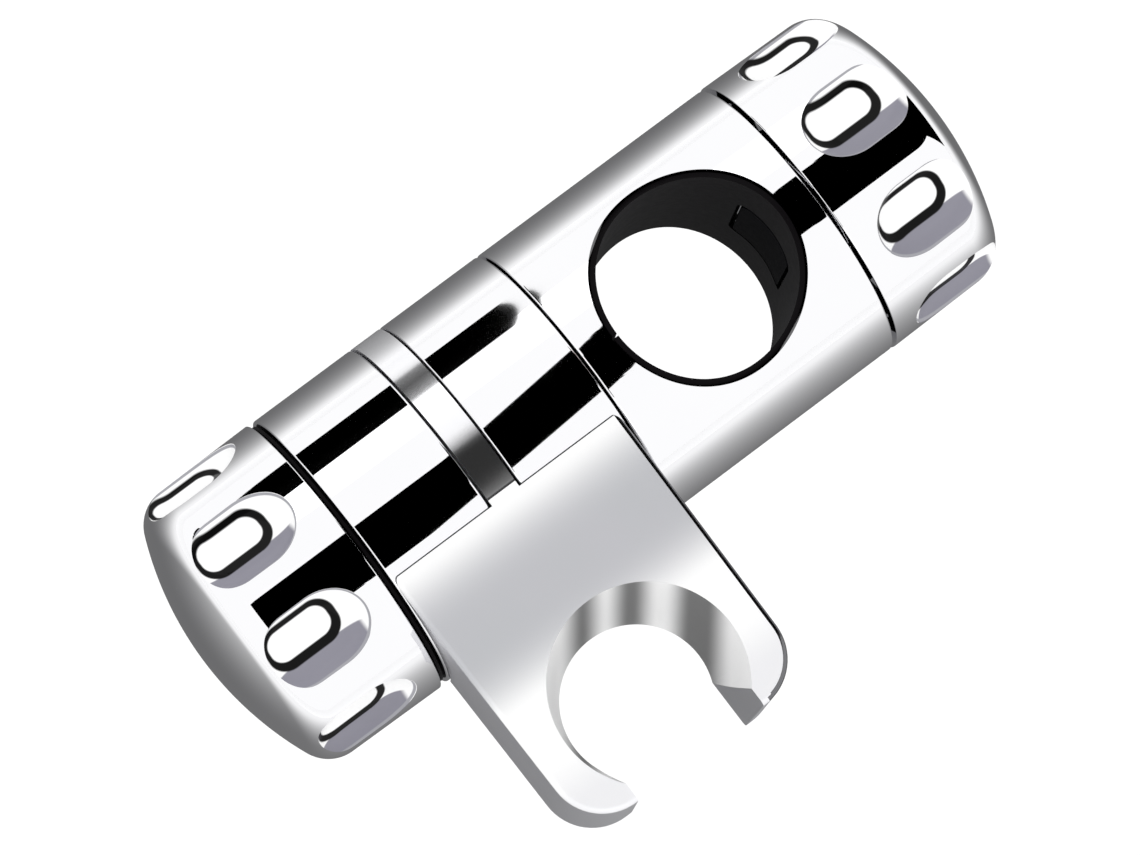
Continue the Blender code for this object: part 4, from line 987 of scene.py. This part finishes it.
@dataclass
class TiltSleeve:
    """The two fixed barrels that the arm turns between, and the ring that closes their end."""

    steps: int = 288
    bore_steps: int = 64
    radius: float = 0.0204
    inner: float = 0.0182
    edge_round: float = 0.0003
    right: float = -0.0184
    left: float = -0.0537
    right_face: float = -0.03365
    left_face: float = -0.03845
    web: float = 0.0024
    hub: float = 0.0075
    left_hub: float = 0.0102
    left_hub_end: float = -0.04255
    spigot: float = 0.0066
    spigot_flat: float = 0.0048
    spigot_end: float = -0.04225
    bolt_hole: float = 0.0033
    recess_inner: float = 0.0085
    recess_outer: float = 0.0179
    recess_depth: float = 0.0010
    ribs: int = 6
    rib: float = 0.0014
    rib_setback: float = 0.0060
    dog_inner: float = 0.0045
    dog_outer: float = 0.0070
    dog_half: float = 0.0011
    dog_reach: float = 0.0012
    dust_radius: float = 0.0199
    dust_flange: float = 0.0004
    dust_depth: float = 0.0025
    dust_skirt: float = 0.0010

    def right_barrel(self) -> Piece:
        """Turn the cup with its hub and spigot, mill the flats, add ribs and dogs."""
        back = self.right_face + self.web
        floor = self.right_face + self.recess_depth
        corners = profile(
            (self.right, self.radius, self.edge_round),
            (self.right_face, self.radius, self.edge_round),
            (self.right_face, self.recess_outer), (floor, self.recess_outer),
            (floor, self.recess_inner), (self.right_face, self.recess_inner),
            (self.right_face, self.spigot), (self.spigot_end, self.spigot),
            (self.spigot_end, self.bolt_hole), (self.right, self.bolt_hole),
            (self.right, self.hub), (back, self.hub),
            (back, self.inner), (self.right, self.inner),
        )
        barrel = Bench.turned("sleeve_right", corners, self.steps)
        for side in (-1, 1):
            low_z, high_z = sorted((side * self.spigot_flat, side * (self.spigot + GAP)))
            wide = self.spigot + GAP
            low = (self.spigot_end - GAP, -wide, low_z)
            Bench.combine(barrel, Bench.block("flat", low, (self.left_face + GAP / 2, wide, high_z)))
            low_y, high_y = sorted((side * self.dog_inner, side * self.dog_outer))
            low = (self.right - self.dog_reach, low_y, -self.dog_half)
            high = (self.right + self.dog_reach, high_y, self.dog_half)
            Bench.combine(barrel, Bench.block("dog", low, high), join=Join.ADD)
        self.add_ribs(barrel, self.hub, (back - GAP, self.right - self.rib_setback))
        return install_fixed(barrel, CHROME, "barrel_right")

    def left_barrel(self) -> Piece:
        """Turn the cup, cut the keyed bore that takes the spigot and add ribs."""
        back = self.left_face - self.web
        floor = self.left_face - self.recess_depth
        corners = profile(
            (self.left_face, 0.0), (self.left_face, self.recess_inner),
            (floor, self.recess_inner), (floor, self.recess_outer),
            (self.left_face, self.recess_outer), (self.left_face, self.radius, self.edge_round),
            (self.left, self.radius, self.edge_round), (self.left, self.inner),
            (back, self.inner), (back, self.left_hub),
            (self.left_hub_end, self.left_hub), (self.left_hub_end, 0.0),
        )
        barrel = Bench.turned("sleeve_left", corners, self.steps, closed=False)
        low = self.left_hub_end - self.web
        high = self.left_face + self.web
        bore = Bench.rod("keyed_bore", self.spigot + GAP, low, high, self.bore_steps)
        flat = self.spigot_flat + GAP
        wide = self.spigot + SPARE
        trim = Bench.block("bore_flats", (low - SPARE, -wide, -flat), (high + SPARE, wide, flat))
        Bench.combine(bore, trim, join=Join.KEEP)
        Bench.combine(barrel, bore)
        self.add_ribs(barrel, self.left_hub, (self.left_hub_end, back + GAP))
        return install_fixed(barrel, CHROME, "barrel_left")

    def add_ribs(self, barrel: Piece, hub: float, stations: Span) -> None:
        """Join a barrel's inner ribs between its hub and its wall."""
        span = (hub - GAP, self.inner + GAP)
        ribs = Bench.plates("rib", self.ribs, math.pi / self.ribs, span, self.rib, stations)
        Bench.combine(barrel, ribs, join=Join.ADD)

    def dust_ring(self) -> Piece:
        """Turn the ring that closes the seam between the sleeve and its knob."""
        high = self.left - GAP
        low = high - self.dust_flange
        skirt = self.inner - GAP
        inside = skirt - self.dust_skirt
        corners = profile(
            (low + self.dust_depth, skirt), (high, skirt),
            (high, self.dust_radius), (low, self.dust_radius),
            (low, inside), (low + self.dust_depth, inside),
        )
        ring = Bench.turned("dust_ring", corners, self.steps)
        return install_fixed(ring, BLACK, "tilt_dust_ring")


class ArmSlot(IntEnum):
    """The arm's material slots in their order."""

    REST = 0
    TOP = 1
    WALL = 2
    RING = 3
    EDGE = 4


@dataclass
class HolderArm:
    """The tilting arm, cast with its ring, with the open cone that holds the handset."""

    steps: int = 288
    cone_steps: int = 192
    core_steps: int = 96
    corner_steps: int = 16
    centre_x: float = -0.03605
    ring_radius: float = 0.0204
    ring_half: float = 0.0021
    barrel_gap: float = 0.0207
    bush_bore: float = 0.0082
    top: float = 0.0192
    depth: float = 0.0200
    root_half: float = 0.01755
    tip_half: float = 0.01705
    root_start: float = -0.0050
    reach: float = 0.0476
    corner: float = 0.0070
    edge_round: float = 0.0008
    edge_steps: int = 8
    cradle_reach: float = 0.0369
    cradle_top: float = 0.0127
    cradle_bottom: float = 0.00985
    mouth_top: float = 0.0098
    mouth_bottom: float = 0.00905
    core_wall: float = 0.0024
    core_roof: float = 0.0030
    core_rib: float = 0.0020
    core_front: float = 0.0035
    level: float = 0.9
    least_slant: float = 0.05

    @property
    def bottom(self) -> float:
        """Return the height of the arm's underside."""
        return self.top - self.depth

    def outline(self, name: str, inset: float, low: float, high: float) -> Piece:
        """Return the arm's outline as a block with rounded front corners.

        Args:
            name: The block's name.
            inset: How far its sides lie inside the arm's own.
            low: Its lower height.
            high: Its upper height.

        Returns:
            The block.
        """
        half = self.root_half - inset
        front = -self.reach + inset
        low_corner = (self.centre_x - half, front, low)
        block = Bench.block(name, low_corner, (self.centre_x + half, self.root_start, high))
        with Bench.editing(block):
            Bench.mark_points(block, lambda co: co.y < front + NEAR)
            taper = (self.tip_half - inset) / half
            pivot = (self.centre_x, front, low)
            bpy.ops.transform.resize(value=(taper, 1.0, 1.0), center_override=pivot)
            Bench.mark_edges(block, lambda a, b: max(a.y, b.y) < front + NEAR and abs(a.z - b.z) > NEAR)
            bpy.ops.mesh.bevel(offset=self.corner - inset, segments=self.corner_steps, affect="EDGES")
        return block

    def cone_radius(self, height: float) -> float:
        """Return the radius of the handset's cone at a height."""
        slope = (self.cradle_top - self.cradle_bottom) / self.depth
        return self.cradle_bottom + slope * (height - self.bottom)

    def cone(self, name: str, extra: float, low: float, high: float) -> Piece:
        """Return the handset's cone, widened by a wall, between two heights."""
        radii = [self.cone_radius(height) + extra for height in (low, high)]
        centre = (self.centre_x, -self.cradle_reach, 0.0)
        return Bench.rod(name, radii[0], low, high, self.cone_steps, Axis.RAIL, centre, radii[1])

    def mouth(self) -> Piece:
        """Return the tapered slot that opens the cradle at its front."""
        bottom = self.bottom
        low = (self.centre_x - self.mouth_top, -self.reach - SPARE, bottom - SPARE)
        high = (self.centre_x + self.mouth_top, -self.cradle_reach, self.top + SPARE)
        tool = Bench.block("mouth", low, high)
        with Bench.editing(tool):
            Bench.mark_points(tool, lambda co: co.z < bottom)
            taper = self.mouth_bottom / self.mouth_top
            bpy.ops.transform.resize(value=(taper, 1.0, 1.0), center_override=(self.centre_x, 0.0, bottom))
        return tool

    def cores(self) -> Piece:
        """Return the two pockets cored into the arm's underside."""
        wide = self.root_half + self.core_wall
        below = self.bottom - 2 * SPARE
        cores = self.outline("cores", self.core_wall, self.bottom - SPARE, self.top - self.core_roof)
        root = self.barrel_gap + self.core_wall
        low_x = self.centre_x - wide
        high_x = self.centre_x + wide
        front = -self.cradle_reach + self.core_front
        half = self.core_rib / 2
        rib_low = (self.centre_x - half, -self.reach, below)
        Bench.combine(
            cores,
            Bench.rod("root_wall", root, low_x, high_x, self.core_steps),
            self.cone("cradle_wall", self.core_wall, below, self.top),
            Bench.block("front_wall", (low_x, -self.reach, below), (high_x, front, self.top)),
            Bench.block("rib", rib_low, (self.centre_x + half, 0.0, self.top)),
        )
        return cores

    def casting(self) -> Piece:
        """Make the arm and its ring, cut the cradle, its mouth and the cores."""
        arm = self.outline("arm_casting", 0.0, self.bottom, self.top)
        root = self.root_start - NEAR
        with Bench.editing(arm):
            Bench.mark_edges(arm, lambda a, b: abs(a.z - b.z) < NEAR and min(a.y, b.y) < root)
            bpy.ops.mesh.bevel(offset=self.edge_round, segments=self.edge_steps, affect="EDGES")
        right = self.centre_x + self.ring_half
        left = self.centre_x - self.ring_half
        far = self.root_half + SPARE
        hug = self.barrel_gap
        Bench.combine(
            arm,
            Bench.rod("left_clearance", hug, self.centre_x - far, left, self.steps),
            Bench.rod("right_clearance", hug, right, self.centre_x + far, self.steps),
        )
        Bench.combine(arm, Bench.rod("ring", self.ring_radius, left, right, self.steps), join=Join.ADD)
        Bench.combine(
            arm,
            Bench.rod("bush_bore", self.bush_bore, left - SPARE, right + SPARE, self.core_steps),
            self.cone("cradle", 0.0, self.bottom - SPARE, self.top + SPARE),
            self.mouth(),
            self.cores(),
        )
        Bench.shade(arm)
        self.dress(arm)
        return install(arm, "arm", SATIN, "holder_arm")

    def slot_of(self, face: bpy.types.MeshPolygon) -> ArmSlot:
        """Return the slot of a face, by where it lies and which way it looks."""
        place = face.center
        normal = face.normal
        flat = Vector((place.x, place.y, 0.0)) - Vector((self.centre_x, -self.cradle_reach, 0.0))
        inward = normal.x * flat.x + normal.y * flat.y < 0.0
        if abs(math.hypot(place.y, place.z) - self.ring_radius) < NEAR_FACE:
            return ArmSlot.RING
        if place.z > self.top - NEAR_FACE and normal.z > self.level:
            return ArmSlot.TOP
        if place.z > self.top - self.edge_round and normal.z > self.least_slant:
            return ArmSlot.EDGE if normal.x > self.least_slant else ArmSlot.TOP
        if abs(flat.length - self.cone_radius(place.z)) < NEAR_FACE and inward:
            return ArmSlot.WALL
        return ArmSlot.REST

    def dress(self, arm: Piece) -> None:
        """Give the top face, the cradle's wall, the ring, the right-hand edge and the rest their finishes:
        painted shade on the top face, painted reflections on the wall, the ring and the right-hand edge.
        """
        # The cradle's wall: white, with bands of painted reflection in the tint.
        wall = CradleWallPaintedBands(
            name="cradle_wall_painted_reflections", slot="satin_chrome", colour=(1.0, 1.0, 1.0), tint=(0.17, 0.17, 0.17),
            roughness=0.30, roughness_spread=0.02, grain_depth=0.0000005,
            centre=self.centre_x * CradleWallPaintedBands.across_x - self.cradle_reach * CradleWallPaintedBands.across_y,
        )
        SATIN.dress(arm)
        for finish in (PAINTED_SHADE_FACE, wall, RING, EDGE):
            arm.data.materials.append(finish.material())
        for face in arm.data.polygons:
            face.material_index = self.slot_of(face).value


@dataclass
class Hardware:
    """The pieces inside, which keep their solids and take their finishes."""

    finishes: dict[str, Finish] = field(default_factory=lambda: {
        "clamp_shoe": BLACK,
        "shoe_pad": RUBBER,
        "clamp_screw": STEEL,
        "clamp_insert": BRASS,
        "neck_o_ring": RUBBER,
        "rail_knob_retainer": NYLON,
        "friction_washer_right": NYLON,
        "friction_washer_left": NYLON,
        "pivot_bush": NYLON,
        "tilt_bolt": STEEL,
        "spring_washer_inner": STEEL,
        "spring_washer_outer": STEEL,
        "keyed_washer": STEEL,
        "tilt_nut": BRASS,
        "tilt_knob_retainer": NYLON,
    })

    def build(self) -> None:
        """Give each kept node its finish."""
        for node, finish in self.finishes.items():
            finish.dress(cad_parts[node])
            log.info("%s: %s", node, finish.name)


Slant = tuple[Callable[[Vector], bool], Point]


@dataclass
class Studio:
    """The camera, the floor, the lamps and the cards that the chrome reflects."""

    aim: Vector = field(default_factory=lambda: Vector((-0.0217, -0.00404, 0.0)))
    towards_camera: Vector = field(default_factory=lambda: Vector((-0.1425, -0.0845, 0.986)).normalized())
    picture_up: Vector = field(default_factory=lambda: Vector((0.6069, 0.7948, 0.0)))
    distance: float = 0.85
    lens: float = 211.8
    sensor: float = 36.0
    clip: float = 0.01
    room_colour: Colour = (1.0, 1.0, 1.0)
    room_strength: float = 1.06
    floor_height: float = -0.25
    floor_size: float = 8.0
    floor_colours: tuple[Colour, Colour] = ((0.97, 0.97, 0.97), (0.96, 0.96, 0.96))
    floor_noise: float = 2.0
    floor_roughness: float = 0.9
    flag_colour: Colour = (0.0, 0.0, 0.0)
    flag_thickness: float = 0.01
    overhead: float = 1.30
    overhead_stations: tuple[float, float, float, float] = (-0.55, 0.127, 0.217, 2.20)
    near_span: Span = (-0.73, 0.165)
    far_span: Span = (-0.39, 0.465)
    side_low: Point = (-0.75, 1.50, 0.29)
    side_high: Point = (0.2025, 1.51, 1.03)
    side_lean: float = 0.042
    ground_radius: float = 0.62
    ground_steps: int = 96
    ground_place: Point = (-0.02, 0.0, -0.12)
    ground_middle: float = 0.04
    ground_fade: Span = (0.02, 0.55)
    ground_left: Span = (-0.42, -0.12)
    ground_right: Span = (0.10, 0.45)
    ground_colours: tuple[Colour, Colour] = ((0.155, 0.155, 0.158), (1.0, 1.0, 1.0))
    lamp_front: Point = (-0.5, -1.2, 1.1)
    lamp_back: Point = (0.3, 1.3, 1.2)
    lamp_size: float = 0.9
    lamp_energy: float = 2.0

    def camera(self) -> None:
        """Set the camera at the photo's angle."""
        data = bpy.data.cameras.new("camera")
        data.lens = self.lens
        data.sensor_width = self.sensor
        data.clip_start = self.clip
        camera = bpy.data.objects.new("camera", data)
        bpy.context.scene.collection.objects.link(camera)
        back = self.towards_camera
        right = self.picture_up.cross(back).normalized()
        turn = Matrix((right, back.cross(right), back)).transposed().to_4x4()
        camera.matrix_world = Matrix.Translation(self.aim + back * self.distance) @ turn
        bpy.context.scene.camera = camera

    def world(self) -> None:
        """Light the whole room with one even white."""
        world = bpy.data.worlds.new("room")
        world.use_nodes = True
        graph = Graph(world.node_tree)
        inputs = {"Color": (*self.room_colour, 1.0), "Strength": self.room_strength}
        node = graph.node("ShaderNodeBackground", {}, inputs)
        graph.node("ShaderNodeOutputWorld", {}, {"Surface": Socket(graph, node.outputs[0])})
        bpy.context.scene.world = world

    def floor(self) -> None:
        """Lay the pale floor below the slider, which hangs on its rail."""
        bpy.ops.mesh.primitive_plane_add(size=self.floor_size, location=(0.0, 0.0, self.floor_height))
        floor = bpy.context.object
        floor.name = "floor"
        floor.data.materials.append(new_material("pale_floor", "ShaderNodeBsdfPrincipled", lambda graph: {
            "Base Color": graph.mix(graph.noise(self.floor_noise), *self.floor_colours),
            "Roughness": self.floor_roughness,
        }))

    @staticmethod
    def hang(card: Piece, colour: Callable[[Graph], Socket | Sequence[float]]) -> None:
        """Give a card its glow, and keep it out of the picture and out of the soft light.

        Args:
            card: The card.
            colour: What returns its colour.
        """
        card.data.materials.append(new_material(
            f"{card.name}_surface", "ShaderNodeEmission",
            lambda graph: {"Color": colour(graph), "Strength": 1.0},
        ))
        card.visible_camera = False
        card.visible_diffuse = False
        card.visible_shadow = False
        card.visible_transmission = False

    def flag(self, name: str, low: Point, high: Point, slants: Sequence[Slant] = ()) -> None:
        """Hang a flat black card that only reflections see.

        Args:
            name: The card's name.
            low: Its lowest corner.
            high: Its highest corner.
            slants: Which corners are moved, and by how much.
        """
        card = Bench.block(name, low, high)
        with Bench.editing(card):
            for test, shift in slants:
                Bench.mark_points(card, test)
                bpy.ops.transform.translate(value=shift)
        self.hang(card, lambda graph: (*self.flag_colour, 1.0))

    def flags(self) -> None:
        """Hang the black flags of the photo's studio: one bent overhead, its far end and one beside."""
        start, bend, straight, end = self.overhead_stations
        front, back = self.near_span
        far_front, far_back = self.far_span
        low = self.overhead
        high = low + self.flag_thickness
        turned = (bend + straight) / 2
        ends = (
            (lambda co: co.x > turned and co.y < 0.0, (0.0, far_front - front, 0.0)),
            (lambda co: co.x > turned and co.y > 0.0, (0.0, far_back - back, 0.0)),
        )
        self.flag("flag_left", (start, front, low), (bend, back, high))
        self.flag("flag_middle", (bend, front, low), (straight, back, high), ends)
        self.flag("flag_right", (straight, far_front, low), (end, far_back, high))
        foot = self.floor_height + self.flag_thickness
        self.flag("flag_far_end", (end, far_front, foot), (end + self.flag_thickness, far_back, high))
        middle = (self.side_low[2] + self.side_high[2]) / 2
        lean = ((lambda co: co.x > 0.0 and co.z > middle, (self.side_lean, 0.0, 0.0)),)
        self.flag("flag_side", self.side_low, self.side_high, lean)

    def ground_colour(self, graph: Graph) -> Socket:
        """Return the ground card's colour, grey in its middle and white towards its ends and sides."""
        x, y, _ = graph.axes()
        across = abs(y - self.ground_middle).step(*self.ground_fade)
        beyond = 1.0 - x.step(*self.ground_left) * (1.0 - x.step(*self.ground_right))
        paleness = 1.0 - (1.0 - across) * (1.0 - beyond)
        return graph.mix(paleness, *self.ground_colours)

    def ground(self) -> None:
        """Lay the grey card that darkens the chrome's outer edges."""
        bpy.ops.mesh.primitive_circle_add(
            vertices=self.ground_steps, radius=self.ground_radius, fill_type="NGON",
            location=self.ground_place,
        )
        self.hang(Bench.settle(bpy.context.object, "ground_card"), self.ground_colour)

    def lamps(self) -> None:
        """Hang two soft lamps, one on each side of the overhead flag."""
        for name, place in (("lamp_front", self.lamp_front), ("lamp_back", self.lamp_back)):
            data = bpy.data.lights.new(name, "AREA")
            data.shape = "SQUARE"
            data.size = self.lamp_size
            data.energy = self.lamp_energy
            lamp = bpy.data.objects.new(name, data)
            lamp.location = place
            lamp.rotation_euler = (-Vector(place)).to_track_quat("-Z", "Y").to_euler()
            bpy.context.scene.collection.objects.link(lamp)

    def build(self) -> None:
        """Set up the whole studio."""
        bpy.context.scene.view_settings.view_transform = "Standard"
        self.camera()
        self.world()
        self.floor()
        self.flags()
        self.ground()
        self.lamps()


def hex_radius(flats: float) -> float:
    """Return the radius to a hexagon's corners, from its width across the flats."""
    return flats / math.sqrt(3.0)


def rail_knob() -> ClampKnob:
    """Return the knob that clamps the slider to its rail."""
    return ClampKnob(
        name="rail_clamp_knob",
        body="rail_knob",
        node="rail_knob",
        rim=0.0180,
        facing=1,
        phase=math.radians(-14.0),
        hub=profile((0.0035, 0.0110), (0.0035, 0.0094), (0.0150, 0.0094), (0.0150, 0.0)),
        pocket_radius=hex_radius(0.0136),
        pocket=(0.0140, 0.0186),
    )


def tilt_knob() -> ClampKnob:
    """Return the knob that clamps the arm's tilt, with its long hub."""
    hub_radius = hex_radius(0.0106)
    return ClampKnob(
        name="tilt_clamp_knob",
        body="tilt_knob",
        node="tilt_knob",
        rim=-0.0547,
        facing=-1,
        phase=math.radians(-22.0),
        hub=profile(
            (-0.00685, hub_radius + 0.0020), (-0.00685, hub_radius + GAP), (-0.00505, hub_radius + GAP),
            (-0.00505, 0.0033), (0.00445, 0.0033), (0.00445, 0.0),
        ),
        pocket_radius=hub_radius,
        pocket=(-0.00535, 0.00075),
        hollow_shift=0.0008,
    )


def main() -> None:
    """Build the slider's looks, one sub-assembly after another."""
    logging.basicConfig(level=logging.INFO, format="%(name)s: %(message)s")
    Studio().build()
    body = RailBody()
    body.casting()
    body.liner()
    rail_knob().build()
    tilt_knob().build()
    sleeve = TiltSleeve()
    sleeve.right_barrel()
    sleeve.left_barrel()
    sleeve.dust_ring()
    HolderArm().casting()
    Hardware().build()


if __name__ == "__main__":
    main()
